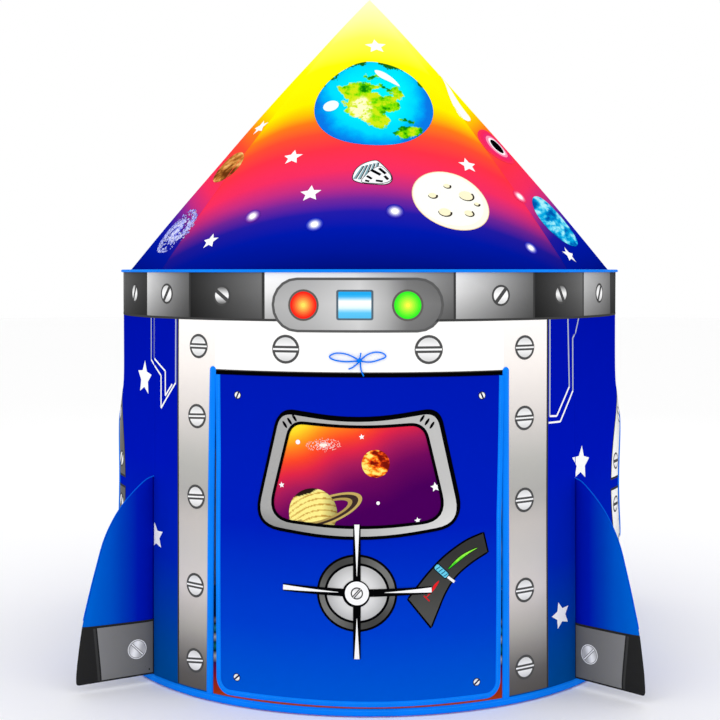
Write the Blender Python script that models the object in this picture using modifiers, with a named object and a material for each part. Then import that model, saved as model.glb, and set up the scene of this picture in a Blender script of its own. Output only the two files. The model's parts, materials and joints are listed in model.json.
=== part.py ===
"""Rocket play tent: printed fabric on two hoops, four poles and four bowed roof poles.

Frame: origin on the floor on the tent's axis, +Z up, door towards -Y.
Angles round the tent, phi, start at the door (-Y) and grow towards +X.
"""
import bpy
import bmesh
from math import cos, degrees, hypot, pi, radians, sin, sqrt
from mathutils import Matrix, Vector

# ---- driving dimensions, metres and degrees ----
WALL_RADIUS = 0.515
EAVE_Z = 0.777
APEX_Z = 1.354
ROOF_BASE_RADIUS = 0.502
ROOF_SWELL = 0.017          # how far the roof bows out of a true cone at mid height
CLOTH = 0.0015              # thickness of every fabric panel, hems included
GAP = 0.0004                # air between neighbouring pieces
STEP_DEG = 5.0              # facet width of everything round
SEAMS = (-50.0, 50.0, 130.0, 230.0)
REAR_LEFT_SEAM = -130.0      # the last seam, counted the other way round

DOOR_HALF_DEG = 30.8
DOOR_TOP_Z = 0.5914
FLAP_HALF_DEG = 30.15
FLAP_BOTTOM_Z = 0.024
FLAP_CORNER = 0.022
FLAP_COLUMNS = 6             # facets in each half of the flap's width
WINDOW_Z = 0.355
WINDOW_RADIUS = 0.135

POLE_DIAMETER = 0.008
POLE_CENTRE_RADIUS = 0.4965  # where the wall poles stand
ROOF_POLE_INSET = 0.0115     # roof pole's centre under the roof's outer face
HOOP_DIAMETER = 0.006
HOOP_CENTRE_RADIUS = 0.5096
FIT = 0.0003                 # clearance of a pole in its socket

FIN_ANGLES = {"front_left": -50.0, "front_right": 50.0, "rear_right": 130.0, "rear_left": 230.0}
FIN_REST_SWING = {"front_left": -11.0, "front_right": 0.0, "rear_right": 0.0, "rear_left": 0.0}
FIN_AXIS_RADIUS = 0.5205
FIN_THICKNESS = 0.008
FIN_SKIN = 0.0011
FIN_OUTLINE = (
    (0.0005, 0.0165), (0.148, 0.0137), (0.1465, 0.0511), (0.1375, 0.118), (0.1255, 0.1711),
    (0.1105, 0.2287), (0.093, 0.2853), (0.063, 0.3375), (0.021, 0.380), (0.0005, 0.390),
)

CORD_DIAMETER = 0.0026
KNOT = Vector((0.0, -0.5197, 0.6212))

COLOURS = {
    "wall": ((0.005, 0.01, 0.42), 0.6, 0.0),
    "roof": ((0.85, 0.42, 0.06), 0.6, 0.0),
    "floor": ((0.01, 0.02, 0.2), 0.7, 0.0),
    "binding": ((0.0, 0.2, 0.95), 0.6, 0.0),
    "mesh": ((0.02, 0.02, 0.025), 0.8, 0.0),
    "pole": ((0.75, 0.75, 0.72), 0.35, 0.0),
    "metal": ((0.6, 0.6, 0.62), 0.3, 1.0),
    "plastic": ((0.03, 0.03, 0.035), 0.5, 0.0),
    "fin": ((0.3, 0.6, 0.9), 0.6, 0.0),
    "foam": ((0.9, 0.88, 0.8), 0.9, 0.0),
    "cord": ((0.0, 0.25, 0.9), 0.7, 0.0),
}


# ---- scene helpers ----
def collection(name):
    found = bpy.data.collections.get(name) or bpy.data.collections.new(name)
    if found.name not in bpy.context.scene.collection.children:
        bpy.context.scene.collection.children.link(found)
    return found


def material(name, part):
    colour, roughness, metallic = COLOURS[name]
    made = bpy.data.materials.new(f"{part}_{name}")
    made.use_nodes = True
    shader = made.node_tree.nodes["Principled BSDF"]
    shader.inputs["Base Color"].default_value = (*colour, 1.0)
    shader.inputs["Roughness"].default_value = roughness
    shader.inputs["Metallic"].default_value = metallic
    return made


def add(name, data, look, parent=None):
    """Links a new part object with its own material."""
    part = bpy.data.objects.new(name, data)
    collection("rocket_play_tent").objects.link(part)
    data.materials.clear()
    data.materials.append(material(look, name))
    part.parent = parent
    return part


def cutter(name, mesh, matrix):
    tool = bpy.data.objects.new(name, mesh)
    collection("cutters").objects.link(tool)
    tool.matrix_world = matrix
    tool.hide_render = True
    tool.display_type = "WIRE"
    return tool


def cut(part, tool):
    boolean = part.modifiers.new(f"cut_{tool.name}", "BOOLEAN")
    boolean.operation = "DIFFERENCE"
    boolean.solver = "EXACT"
    boolean.object = tool


def thicken(part, thickness):
    """Gives an open sheet its thickness on the inner side."""
    solid = part.modifiers.new("thickness", "SOLIDIFY")
    solid.thickness = thickness
    solid.offset = -1.0
    solid.use_even_offset = True


def smooth(mesh, angle_deg=40.0):
    mesh.shade_smooth()
    mesh.set_sharp_from_angle(angle=radians(angle_deg))


# ---- geometry helpers ----
def around(phi_deg, radius, z):
    phi = radians(phi_deg)
    return Vector((radius * sin(phi), -radius * cos(phi), z))


def roof_radius(t):
    """Roof's outer radius at t, from 0 at the eave to 1 at the apex."""
    return ROOF_BASE_RADIUS * (1.0 - t) + 4.0 * ROOF_SWELL * t * (1.0 - t)


def roof_point(t, inset):
    """Radius and height of a point inset from the roof's outer face at t."""
    rise = APEX_Z - EAVE_Z
    slope = -ROOF_BASE_RADIUS + 4.0 * ROOF_SWELL * (1.0 - 2.0 * t)
    length = hypot(slope, rise)
    return (roof_radius(t) - inset * rise / length, EAVE_Z + 0.0005 + t * rise + inset * slope / length)


def angles_between(start, end, extra=()):
    """Column angles: multiples of STEP_DEG, the two ends, and any extra ones."""
    count = int(round(360.0 / STEP_DEG))
    inner = [i * STEP_DEG for i in range(-count, 2 * count) if start + 0.5 < i * STEP_DEG < end - 0.5]
    inner = [a for a in inner if all(abs(a - e) > 1.0 for e in extra)]
    return sorted([start, end, *inner, *extra])


def grid_sheet(name, columns, rows, place, keep=lambda a, b: True):
    """An open sheet of quads; place(column, row) gives each point, facing outwards."""
    shape = bmesh.new()
    bmesh.ops.create_grid(shape, x_segments=len(columns) - 1, y_segments=len(rows) - 1, size=1.0)
    where = {}
    for vert in shape.verts:
        i = round((vert.co.x + 1.0) / 2.0 * (len(columns) - 1))
        j = round((vert.co.y + 1.0) / 2.0 * (len(rows) - 1))
        where[vert] = (columns[i], rows[j])
    gone = []
    for face in shape.faces:
        a = sum(where[v][0] for v in face.verts) / 4.0
        b = sum(where[v][1] for v in face.verts) / 4.0
        if not keep(a, b):
            gone.append(face)
    for vert, (a, b) in where.items():
        vert.co = place(a, b)
    bmesh.ops.delete(shape, geom=gone, context="FACES")
    mesh = bpy.data.meshes.new(name)
    shape.to_mesh(mesh)
    shape.free()
    smooth(mesh)
    return mesh


def turned(name, profile, look, steps=12, closed=False, location=(0.0, 0.0, 0.0)):
    """A solid of revolution about Z; the profile runs down its outer side."""
    mesh = bpy.data.meshes.new(name)
    shape = bmesh.new()
    points = [shape.verts.new((r, 0.0, z)) for r, z in profile]
    pairs = list(zip(points, points[1:]))
    if closed:
        pairs.append((points[-1], points[0]))
    for a, b in pairs:
        shape.edges.new((a, b))
    shape.to_mesh(mesh)
    shape.free()
    part = add(name, mesh, look)
    part.location = location
    screw = part.modifiers.new("turn", "SCREW")
    screw.steps = steps
    screw.render_steps = steps
    screw.use_merge_vertices = True
    screw.merge_threshold = 0.00002
    screw.use_smooth_shade = True
    return part


def rod_curve(name, points, radius, sides=2, cyclic=False):
    """A round bar along a polyline, as curve data."""
    curve = bpy.data.curves.new(name, "CURVE")
    curve.dimensions = "3D"
    curve.bevel_depth = radius
    curve.bevel_resolution = sides
    curve.use_fill_caps = not cyclic
    spline = curve.splines.new("POLY")
    spline.points.add(len(points) - 1)
    for slot, point in zip(spline.points, points):
        slot.co = (*point, 1.0)
    spline.use_cyclic_u = cyclic
    spline.use_smooth = True
    return curve


def solid_mesh(name, curve):
    """The closed mesh of a curve, with its caps welded."""
    holder = bpy.data.objects.new(f"{name}_source", curve)
    collection("cutters").objects.link(holder)
    evaluated = holder.evaluated_get(bpy.context.evaluated_depsgraph_get())
    mesh = bpy.data.meshes.new_from_object(evaluated)
    bpy.data.objects.remove(holder, do_unlink=True)
    shape = bmesh.new()
    shape.from_mesh(mesh)
    bmesh.ops.remove_doubles(shape, verts=shape.verts, dist=0.00001)
    shape.to_mesh(mesh)
    shape.free()
    return mesh


def smooth_route(points, spacing):
    """Points along a Catmull-Rom curve through the given ones."""
    vectors = [Vector(p) for p in points]
    ends = [vectors[0] * 2 - vectors[1], *vectors, vectors[-1] * 2 - vectors[-2]]
    route = []
    for a, b, c, d in zip(ends, ends[1:], ends[2:], ends[3:]):
        count = max(1, round((c - b).length / spacing))
        for i in range(count):
            t = i / count
            route.append(0.5 * (2 * b + (c - a) * t + (2 * a - 5 * b + 4 * c - d) * t ** 2
                                + (3 * b - a - 3 * c + d) * t ** 3))
    return [*route, vectors[-1]]


# ---- hoops, poles and fittings ----
def hoop(name, z):
    bpy.ops.mesh.primitive_torus_add(
        major_radius=HOOP_CENTRE_RADIUS, minor_radius=HOOP_DIAMETER / 2,
        major_segments=36, minor_segments=6, location=(0.0, 0.0, z))
    made = bpy.context.object
    mesh = made.data
    bpy.data.objects.remove(made, do_unlink=True)
    smooth(mesh, 80.0)
    add(name, mesh, "pole").location = (0.0, 0.0, z)


def cylinder_mesh(name, radius, length, sides=12):
    shape = bmesh.new()
    bmesh.ops.create_cone(shape, cap_ends=True, segments=sides, radius1=radius, radius2=radius,
                          depth=length)
    mesh = bpy.data.meshes.new(name)
    shape.to_mesh(mesh)
    shape.free()
    smooth(mesh)
    return mesh


def roof_pole_path(phi, start, end, count):
    """Centre points of a roof pole under the roof, from t=start to t=end."""
    path = []
    for i in range(count + 1):
        t = start + (end - start) * i / count
        radius, z = roof_point(t, ROOF_POLE_INSET)
        path.append(around(phi, radius, z))
    return path


def frame_side(tag, phi):
    """One pole line: foot, two pole sections, ferrule, elbow and roof pole."""
    stand = around(phi, POLE_CENTRE_RADIUS, 0.0)
    bore = POLE_DIAMETER / 2 + FIT
    turned(f"pole_foot_{tag}", [
        (0.0, 0.0095), (bore, 0.0095), (bore, 0.030), (0.006, 0.030),
        (0.0075, 0.026), (0.0075, 0.0022), (0.0, 0.0022)], "plastic", steps=8, location=stand)

    joint_z = 0.385
    top_z = 0.752
    for half, low, high in (("lower", 0.0100, joint_z - GAP / 2), ("upper", joint_z + GAP / 2, top_z)):
        rod = cylinder_mesh("wall_pole", POLE_DIAMETER / 2, high - low)
        pole = add(f"wall_pole_{half}_{tag}", rod, "pole")
        pole.location = stand + Vector((0.0, 0.0, (low + high) / 2))
    sleeve = POLE_DIAMETER / 2 + FIT + 0.0008
    turned(f"pole_ferrule_{tag}", [
        (bore, joint_z + 0.03), (sleeve, joint_z + 0.03), (sleeve, joint_z - 0.03), (bore, joint_z - 0.03)],
        "metal", steps=8, closed=True, location=stand)

    roof_path = roof_pole_path(phi, 0.045, 0.925, 11)
    direction = (roof_path[1] - roof_path[0]).normalized()
    meet = around(phi, POLE_CENTRE_RADIUS, 0.765)
    tip = roof_path[0] + direction * 0.006
    elbow_path = [meet + Vector((0.0, 0.0, -0.032)), meet + Vector((0.0, 0.0, -0.004)),
                  meet.lerp(roof_path[0], 0.28), tip]
    elbow_mesh = solid_mesh("eave_elbow", rod_curve("eave_elbow", elbow_path, 0.0066))
    elbow = add(f"eave_elbow_{tag}", elbow_mesh, "plastic")
    depth = top_z - (meet.z - 0.032) + GAP
    drill = cylinder_mesh("socket", bore, depth + 0.01)
    low_end = Vector((stand.x, stand.y, top_z + GAP - (depth + 0.01) / 2))
    cut(elbow, cutter(f"elbow_wall_socket_{tag}", drill, Matrix.Translation(low_end)))
    turn = direction.to_track_quat("Z", "Y").to_matrix().to_4x4()
    drill = cylinder_mesh("socket", bore, 0.03)
    high_end = roof_path[0] + direction * (0.015 - GAP)
    cut(elbow, cutter(f"elbow_roof_socket_{tag}", drill, Matrix.Translation(high_end) @ turn))
    add(f"roof_pole_{tag}", rod_curve("roof_pole", roof_path, POLE_DIAMETER / 2), "pole")


def apex_hub(phis):
    """Moulded cap under the apex, with a socket for each roof pole."""
    outer = [roof_point(t, 0.0032) for t in (0.972, 0.93, 0.895)]
    foot_z = outer[-1][1] - 0.008
    hub = turned("apex_hub", [
        (0.0, outer[0][1] + 0.001), *outer, (outer[-1][0], foot_z), (0.026, foot_z),
        (0.012, foot_z + 0.028), (0.0, foot_z + 0.030)], "plastic", steps=24)
    for index, phi in enumerate(phis):
        end, before = roof_pole_path(phi, 0.925, 0.845, 1)
        direction = (end - before).normalized()
        drill = cylinder_mesh("socket", POLE_DIAMETER / 2 + FIT + 0.0004, 0.08)
        turn = direction.to_track_quat("Z", "Y").to_matrix().to_4x4()
        middle = end + direction * (GAP * 2 - 0.04)
        cut(hub, cutter(f"hub_socket_{index}", drill, Matrix.Translation(middle) @ turn))


# ---- fabric walls, roof and floor ----
def wall_panel(name, start, end, keep=lambda a, b: True, extra_columns=(), rows=(0.0022, EAVE_Z)):
    side = GAP / 2 / WALL_RADIUS * 180.0 / pi
    columns = angles_between(start + side, end - side, extra_columns)
    sheet = grid_sheet(name, columns, list(rows), lambda a, z: around(a, WALL_RADIUS, z), keep)
    part = add(name, sheet, "wall")
    thicken(part, CLOTH)
    return part


def door_opening(phi, z):
    return not (abs(phi) < DOOR_HALF_DEG and z < DOOR_TOP_Z)


def round_window(panel, side):
    """Cuts the round side window with a cylinder along X."""
    tool = cylinder_mesh("window_hole", WINDOW_RADIUS, 0.1, sides=40)
    turn = Matrix.Rotation(pi / 2, 4, "Y")
    place = Matrix.Translation((side * WALL_RADIUS, 0.0, WINDOW_Z))
    cut(panel, cutter(f"{panel.name}_window", tool, place @ turn))


def window_trim(tag, side):
    """Bound edge round the window, and the mesh behind it."""
    radius = 0.0024
    path = []
    for i in range(40):
        turn = 2.0 * pi * i / 40
        y = (WINDOW_RADIUS - 0.001) * cos(turn)
        x = sqrt((WALL_RADIUS + radius + GAP) ** 2 - y * y)
        path.append((side * x, y, WINDOW_Z + (WINDOW_RADIUS - 0.001) * sin(turn)))
    if side < 0:
        path.reverse()
    add(f"window_binding_{tag}", rod_curve("window_binding", path, radius, 1, cyclic=True), "binding")
    reach = WINDOW_RADIUS + 0.010
    span = degrees(reach / WALL_RADIUS)
    columns = angles_between(side * 90.0 - span, side * 90.0 + span)
    rows = [WINDOW_Z - reach, WINDOW_Z + reach]
    inner = WALL_RADIUS - CLOTH - 0.0007
    sheet = grid_sheet(f"window_mesh_{tag}", columns, rows, lambda a, z: around(a, inner, z))
    thicken(add(f"window_mesh_{tag}", sheet, "mesh"), 0.0008)


def roof_gore(name, start, end):
    def place(a, t):
        radius, z = roof_point(t, 0.0)
        side = degrees(GAP / 2 / radius)
        middle = (start + end) / 2
        squeeze = 1.0 - 2.0 * side / (end - start)
        return around(middle + (a - middle) * squeeze, radius, z)

    rows = [0.0, 0.16, 0.33, 0.5, 0.66, 0.8, 0.9, 0.985]
    sheet = grid_sheet(name, angles_between(start, end), rows, place)
    thicken(add(name, sheet, "roof"), CLOTH)


def floor_sheet():
    mesh = cylinder_mesh("floor_sheet", WALL_RADIUS, CLOTH, sides=72)
    add("floor_sheet", mesh, "floor").location = (0.0, 0.0, CLOTH / 2)


def ring_trim():
    """Bindings sewn round the base and over the eave seam."""
    inside = WALL_RADIUS + GAP + 0.0001
    steps = int(round(360.0 / STEP_DEG))
    turned("base_binding", [
        (inside, 0.014), (0.5190, 0.014), (0.5200, 0.0125), (0.5200, 0.0010), (inside, 0.0010)],
        "binding", steps=steps, closed=True)
    turned("eave_binding", [
        (0.5035, EAVE_Z + 0.0035), (0.5185, EAVE_Z + 0.0035), (0.5200, EAVE_Z + 0.0022),
        (0.5200, EAVE_Z - 0.0045), (inside, EAVE_Z - 0.0045), (inside, EAVE_Z + GAP),
        (0.5035, EAVE_Z + GAP)], "binding", steps=steps, closed=True)


def door_binding(tag, side):
    """Bound edge of the door opening, a narrow strip bent round the wall."""
    inner = DOOR_HALF_DEG + 0.05
    outer = inner + degrees(0.006 / WALL_RADIUS)
    columns = sorted((side * inner, side * outer))
    lift = WALL_RADIUS + GAP + CLOTH
    heights = [0.0150, DOOR_TOP_Z]
    sheet = grid_sheet(f"door_binding_{tag}", columns, heights, lambda a, z: around(a, lift, z))
    thicken(add(f"door_binding_{tag}", sheet, "binding"), CLOTH)


# ---- door flap ----
def flap_edge(offset):
    """Half outline of the flap from its top corner to the middle of its bottom edge."""
    half = radians(FLAP_HALF_DEG) * WALL_RADIUS - offset
    low = FLAP_BOTTOM_Z + offset
    corner = FLAP_CORNER - offset
    top = DOOR_TOP_Z - 0.0008
    points = [(half, top), (half, (top + low) / 2)]
    for i in range(5):
        turn = pi / 2 * i / 4
        points.append((half - corner + corner * cos(turn), low + corner - corner * sin(turn)))
    full = radians(FLAP_HALF_DEG) * WALL_RADIUS
    return points + [(full * i / FLAP_COLUMNS, low) for i in range(FLAP_COLUMNS - 1, -1, -1)]


def door_flap(hinge):
    """Flap cloth: strips of the outline, each spanning it from side to side."""
    half = radians(FLAP_HALF_DEG) * WALL_RADIUS
    columns = [FLAP_HALF_DEG * i / FLAP_COLUMNS for i in range(-FLAP_COLUMNS, FLAP_COLUMNS + 1)]
    low = FLAP_BOTTOM_Z

    def place(a, v):
        reach = abs(radians(a)) * WALL_RADIUS
        inset = max(0.0, reach - (half - FLAP_CORNER))
        floor = low + FLAP_CORNER - sqrt(max(0.0, FLAP_CORNER ** 2 - inset ** 2))
        top = DOOR_TOP_Z - 0.0008
        return around(a, WALL_RADIUS, floor + (top - floor) * v) - hinge.location

    corner_in = degrees((half - FLAP_CORNER) / WALL_RADIUS)
    corner_mid = degrees((half - FLAP_CORNER * 0.3) / WALL_RADIUS)
    columns = sorted(set(columns + [-corner_in, corner_in, -corner_mid, corner_mid]))
    sheet = grid_sheet("door_flap", columns, [0.0, 0.5, 1.0], place)
    flap = add("door_flap", sheet, "wall", hinge)
    thicken(flap, CLOTH)


def flap_binding(hinge):
    """U-shaped bound edge on the flap's sides and bottom."""
    width = 0.006
    outer = flap_edge(0.0)
    inner = flap_edge(width)
    loop = outer + [(-x, y) for x, y in reversed(outer[:-1])]
    back = inner + [(-x, y) for x, y in reversed(inner[:-1])]
    shape = bmesh.new()
    lift = WALL_RADIUS + 2 * GAP + CLOTH
    rings = []
    for points in (loop, back):
        rings.append([shape.verts.new(around(degrees(x / WALL_RADIUS), lift, y) - hinge.location)
                      for x, y in points])
    for i in range(len(loop) - 1):
        shape.faces.new((rings[0][i], rings[1][i], rings[1][i + 1], rings[0][i + 1]))
    bmesh.ops.recalc_face_normals(shape, faces=shape.faces)
    centre = around(0.0, 0.0, 0.3) - hinge.location
    shape.faces.ensure_lookup_table()
    face = shape.faces[0]
    if face.normal.dot(face.calc_center_median() - centre) < 0:
        bmesh.ops.reverse_faces(shape, faces=shape.faces)
    mesh = bpy.data.meshes.new("flap_binding")
    shape.to_mesh(mesh)
    shape.free()
    smooth(mesh)
    thicken(add("flap_binding", mesh, "binding", hinge), CLOTH)


# ---- fins ----
def inset_outline(points, distance):
    """The outline moved inwards by distance, corner by corner."""
    count = len(points)
    moved = []
    for i in range(count):
        before, here, after = Vector(points[i - 1]), Vector(points[i]), Vector(points[(i + 1) % count])
        one = (here - before).normalized()
        two = (after - here).normalized()
        normal_one = Vector((-one.y, one.x))
        normal_two = Vector((-two.y, two.x))
        bisector = (normal_one + normal_two).normalized()
        moved.append(here + bisector * distance / max(0.3, bisector.dot(normal_one)))
    return [(p.x, p.y) for p in moved]


def run_on(start, end, x):
    """The point at x on the line through start and end."""
    share = (x - start[0]) / (end[0] - start[0])
    return (x, start[1] + share * (end[1] - start[1]))


def plate_mesh(name, outline, thickness):
    """A flat plate in the XZ plane from an outline, as a welded mesh."""
    curve = bpy.data.curves.new(name, "CURVE")
    curve.dimensions = "2D"
    curve.fill_mode = "BOTH"
    curve.extrude = thickness / 2
    spline = curve.splines.new("POLY")
    spline.points.add(len(outline) - 1)
    for slot, (x, y) in zip(spline.points, outline):
        slot.co = (x, y, 0.0, 1.0)
    spline.use_cyclic_u = True
    mesh = solid_mesh(name, curve)
    mesh.transform(Matrix.Rotation(pi / 2, 4, "X"))
    return mesh


def fin(tag, phi):
    """Padded fin: a fabric pocket open at its root, over a foam core, on a sewn hinge."""
    hinge = bpy.data.objects.new(f"fin_hinge_{tag}", None)
    collection("rocket_play_tent").objects.link(hinge)
    hinge.location = around(phi, FIN_AXIS_RADIUS, 0.0)
    hinge.rotation_euler = (0.0, 0.0, radians(phi + FIN_REST_SWING[tag] - 90.0))
    cover = add(f"fin_cover_{tag}", plate_mesh("fin_cover", FIN_OUTLINE, FIN_THICKNESS), "fin", hinge)
    past_root = [
        run_on(FIN_OUTLINE[1], FIN_OUTLINE[0], -0.01), *FIN_OUTLINE[1:-1],
        run_on(FIN_OUTLINE[-2], FIN_OUTLINE[-1], -0.01)]
    tool = plate_mesh("fin_pocket", inset_outline(past_root, FIN_SKIN), FIN_THICKNESS - 2 * FIN_SKIN)
    place = Matrix.Translation(hinge.location) @ hinge.rotation_euler.to_matrix().to_4x4()
    cut(cover, cutter(f"fin_pocket_{tag}", tool, place))
    core = inset_outline(FIN_OUTLINE, FIN_SKIN + GAP)
    thickness = FIN_THICKNESS - 2 * (FIN_SKIN + GAP)
    add(f"fin_core_{tag}", plate_mesh("fin_core", core, thickness), "foam", hinge)


# ---- door ties ----
LOOP_LEFT = (
    (-0.0040, 0.0024), (-0.013, 0.0076), (-0.026, 0.0118), (-0.040, 0.0126), (-0.0500, 0.0090),
    (-0.0510, 0.0045), (-0.044, 0.0010), (-0.034, -0.0012), (-0.020, -0.0022), (-0.0040, -0.0010),
)
LOOP_RIGHT = (
    (0.0040, 0.0022), (0.014, 0.0100), (0.026, 0.0142), (0.038, 0.0138), (0.0455, 0.0096),
    (0.0450, 0.0052), (0.037, 0.0020), (0.024, -0.0020), (0.013, -0.0026), (0.0040, -0.0014),
)
TAIL_LEFT = ((-0.0022, -0.0046), (-0.0065, -0.0085), (-0.0120, -0.0125), (-0.0185, -0.0150))
TAIL_RIGHT = ((0.0022, -0.0046), (0.0026, -0.0115), (0.0042, -0.0190), (0.0080, -0.0275))


def tie_piece(name, flat):
    """A stretch of cord lying against the wall, given as x and height from the knot."""
    points = []
    for x, dz in flat:
        y = -sqrt((WALL_RADIUS + CORD_DIAMETER / 2 + 0.0012) ** 2 - x * x)
        points.append((KNOT.x + x, y, KNOT.z + dz))
    route = smooth_route(points, 0.006)
    add(name, rod_curve(name, route, CORD_DIAMETER / 2, 2), "cord")


def tie_knot():
    shape = bmesh.new()
    bmesh.ops.create_uvsphere(shape, u_segments=12, v_segments=8, radius=1.0)
    bmesh.ops.scale(shape, vec=(0.0032, 0.0036, 0.0036), verts=shape.verts)
    mesh = bpy.data.meshes.new("tie_knot")
    shape.to_mesh(mesh)
    shape.free()
    smooth(mesh, 80.0)
    add("tie_knot", mesh, "cord").location = KNOT


# ---- assembly ----
def build():
    for old in list(bpy.data.objects):
        bpy.data.objects.remove(old, do_unlink=True)

    hoop("base_hoop", 0.0062)
    hoop("eave_hoop", 0.7710)
    lines = {"front_left": -50.0, "front_right": 50.0, "rear_right": 130.0, "rear_left": 230.0}
    for tag, phi in lines.items():
        frame_side(tag, phi)
    apex_hub(lines.values())

    wall_panel("wall_panel_front", SEAMS[0], SEAMS[1], door_opening,
               (-DOOR_HALF_DEG, DOOR_HALF_DEG), (0.0022, DOOR_TOP_Z, EAVE_Z))
    right = wall_panel("wall_panel_right", SEAMS[1], SEAMS[2])
    wall_panel("wall_panel_rear", SEAMS[2], SEAMS[3])
    left = wall_panel("wall_panel_left", REAR_LEFT_SEAM, SEAMS[0])
    for panel, tag, side in ((right, "right", 1.0), (left, "left", -1.0)):
        round_window(panel, side)
        window_trim(tag, side)
    roof_gore("roof_gore_front", SEAMS[0], SEAMS[1])
    roof_gore("roof_gore_right", SEAMS[1], SEAMS[2])
    roof_gore("roof_gore_rear", SEAMS[2], SEAMS[3])
    roof_gore("roof_gore_left", REAR_LEFT_SEAM, SEAMS[0])
    floor_sheet()
    ring_trim()
    door_binding("left", -1.0)
    door_binding("right", 1.0)

    hinge = bpy.data.objects.new("door_hinge", None)
    collection("rocket_play_tent").objects.link(hinge)
    hinge.location = (0.0, -0.5170, DOOR_TOP_Z)
    door_flap(hinge)
    flap_binding(hinge)
    for tag, phi in FIN_ANGLES.items():
        fin(tag, phi)
    tie_knot()
    tie_piece("tie_loop_left", LOOP_LEFT)
    tie_piece("tie_loop_right", LOOP_RIGHT)
    tie_piece("tie_tail_left", TAIL_LEFT)
    tie_piece("tie_tail_right", TAIL_RIGHT)


build()
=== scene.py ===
"""Looks of the rocket play tent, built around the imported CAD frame.

Places on the wall are (phi, z): degrees round the tent from the door towards +X, and height.
Places on the roof are (phi, s): the same angle, and metres up the slope from the eave.
"""
import json
import random
from math import atan2, ceil, cos, degrees, exp, hypot, pi, radians, sin, sqrt

import bmesh
import bpy
import numpy as np
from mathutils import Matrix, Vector, noise


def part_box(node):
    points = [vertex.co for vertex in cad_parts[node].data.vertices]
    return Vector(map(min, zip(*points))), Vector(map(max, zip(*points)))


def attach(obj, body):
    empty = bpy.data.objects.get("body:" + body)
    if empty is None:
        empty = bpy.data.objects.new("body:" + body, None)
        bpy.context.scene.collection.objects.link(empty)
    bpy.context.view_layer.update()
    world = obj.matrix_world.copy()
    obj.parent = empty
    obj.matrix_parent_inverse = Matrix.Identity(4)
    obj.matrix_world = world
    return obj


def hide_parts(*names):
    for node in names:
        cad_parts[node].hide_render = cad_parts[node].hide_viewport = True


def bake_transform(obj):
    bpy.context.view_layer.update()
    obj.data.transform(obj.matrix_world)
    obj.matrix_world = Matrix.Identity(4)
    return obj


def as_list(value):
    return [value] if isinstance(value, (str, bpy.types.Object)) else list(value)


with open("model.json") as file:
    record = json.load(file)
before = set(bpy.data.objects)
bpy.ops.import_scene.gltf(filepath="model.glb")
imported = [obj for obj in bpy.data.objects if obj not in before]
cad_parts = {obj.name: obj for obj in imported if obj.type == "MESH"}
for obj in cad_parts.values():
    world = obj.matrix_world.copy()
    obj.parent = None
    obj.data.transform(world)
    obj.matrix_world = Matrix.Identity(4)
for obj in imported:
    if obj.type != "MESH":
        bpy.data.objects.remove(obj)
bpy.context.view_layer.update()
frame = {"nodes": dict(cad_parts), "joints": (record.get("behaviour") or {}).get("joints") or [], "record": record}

# ---- sizes, metres and degrees, from the frame where it has them; DEGREE is metres of wall per degree ----
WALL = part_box("floor_sheet")[1][0]
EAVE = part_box("wall_panel_rear")[1][2]
APEX = 1.354
ROOF_BASE = 0.502
ROOF_SWELL = 0.017
DOOR_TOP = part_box("door_binding_left")[1][2]
DOOR_LEFT = -30.75
DOOR_RIGHT = 29.8
DOOR_FLARE = 0.95
FLAP_LEFT = -29.95
FLAP_RIGHT = 29.2
FLAP_DRAW = 0.8
WINDOW_Z = sum(corner[2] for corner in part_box("window_binding_right")) / 2
WINDOW_R = 0.135
SEAMS = (-130.0, -50.0, 50.0, 130.0)
HINGES = {joint["child"]: Vector(joint["pos_m"]) for joint in frame["joints"]}
DEGREE = radians(1.0) * WALL
CLOTH = 0.0006
INK_LIFT = 0.00025
INK_STEP = 0.00012


# ---- surfaces ----
def ring(phi, radius, z):
    turn = radians(phi)
    return Vector((radius * sin(turn), -radius * cos(turn), z))


def bell(x, width):
    return exp(-(x / width) ** 2)


def seam_distance(phi):
    """Degrees from phi to the nearest pole seam."""
    return min(abs((phi - seam + 180.0) % 360.0 - 180.0) for seam in SEAMS)


def wall_point(phi, z, lift=0.0):
    """Outer face of the taut wall: soft waves, and a swell round each side window."""
    up = min(1.0, max(0.0, z / EAVE))
    slack = sin(pi * up)
    wave = 0.0011 * sin(radians(phi) * 7.0 + 0.5) * slack
    wave += 0.0007 * sin(radians(phi) * 13.0 + 5.0 * up) * slack
    ridge = 0.0012 * bell(seam_distance(phi), 2.5)
    side = abs(phi) - 90.0
    reach = hypot(radians(side) * WALL, z - WINDOW_Z)
    swell = 0.0085 * exp(-(max(0.0, reach - WINDOW_R) / 0.055) ** 2)
    return ring(phi, WALL + wave + ridge + swell + lift, z)


def flap_point(phi, z, lift):
    """Door flap: hangs from its top seam with a slight belly and a loose lower edge."""
    down = (DOOR_TOP - z) / DOOR_TOP
    wave = 0.0022 * sin(radians(phi) * 9.0 + 1.0) * down ** 2
    belly = 0.0030 * sin(pi * min(1.0, down))
    return ring(phi, WALL + 0.0008 + belly + wave + lift, z)


# The roof's profile from eave to point: radius, height and metres up the slope at even steps of height.
UP = np.linspace(0.0, 1.0, 401)
RADII = ROOF_BASE * (1.0 - UP) + 4.0 * ROOF_SWELL * UP * (1.0 - UP)
HEIGHTS = EAVE + (APEX - EAVE) * UP
RUN = np.concatenate([[0.0], np.cumsum(np.hypot(np.diff(RADII), np.diff(HEIGHTS)))])
SLOPE = float(RUN[-1])
CONE_SINE = ROOF_BASE / SLOPE


def roof_radius(s):
    return float(np.interp(s, RUN, RADII))


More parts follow.
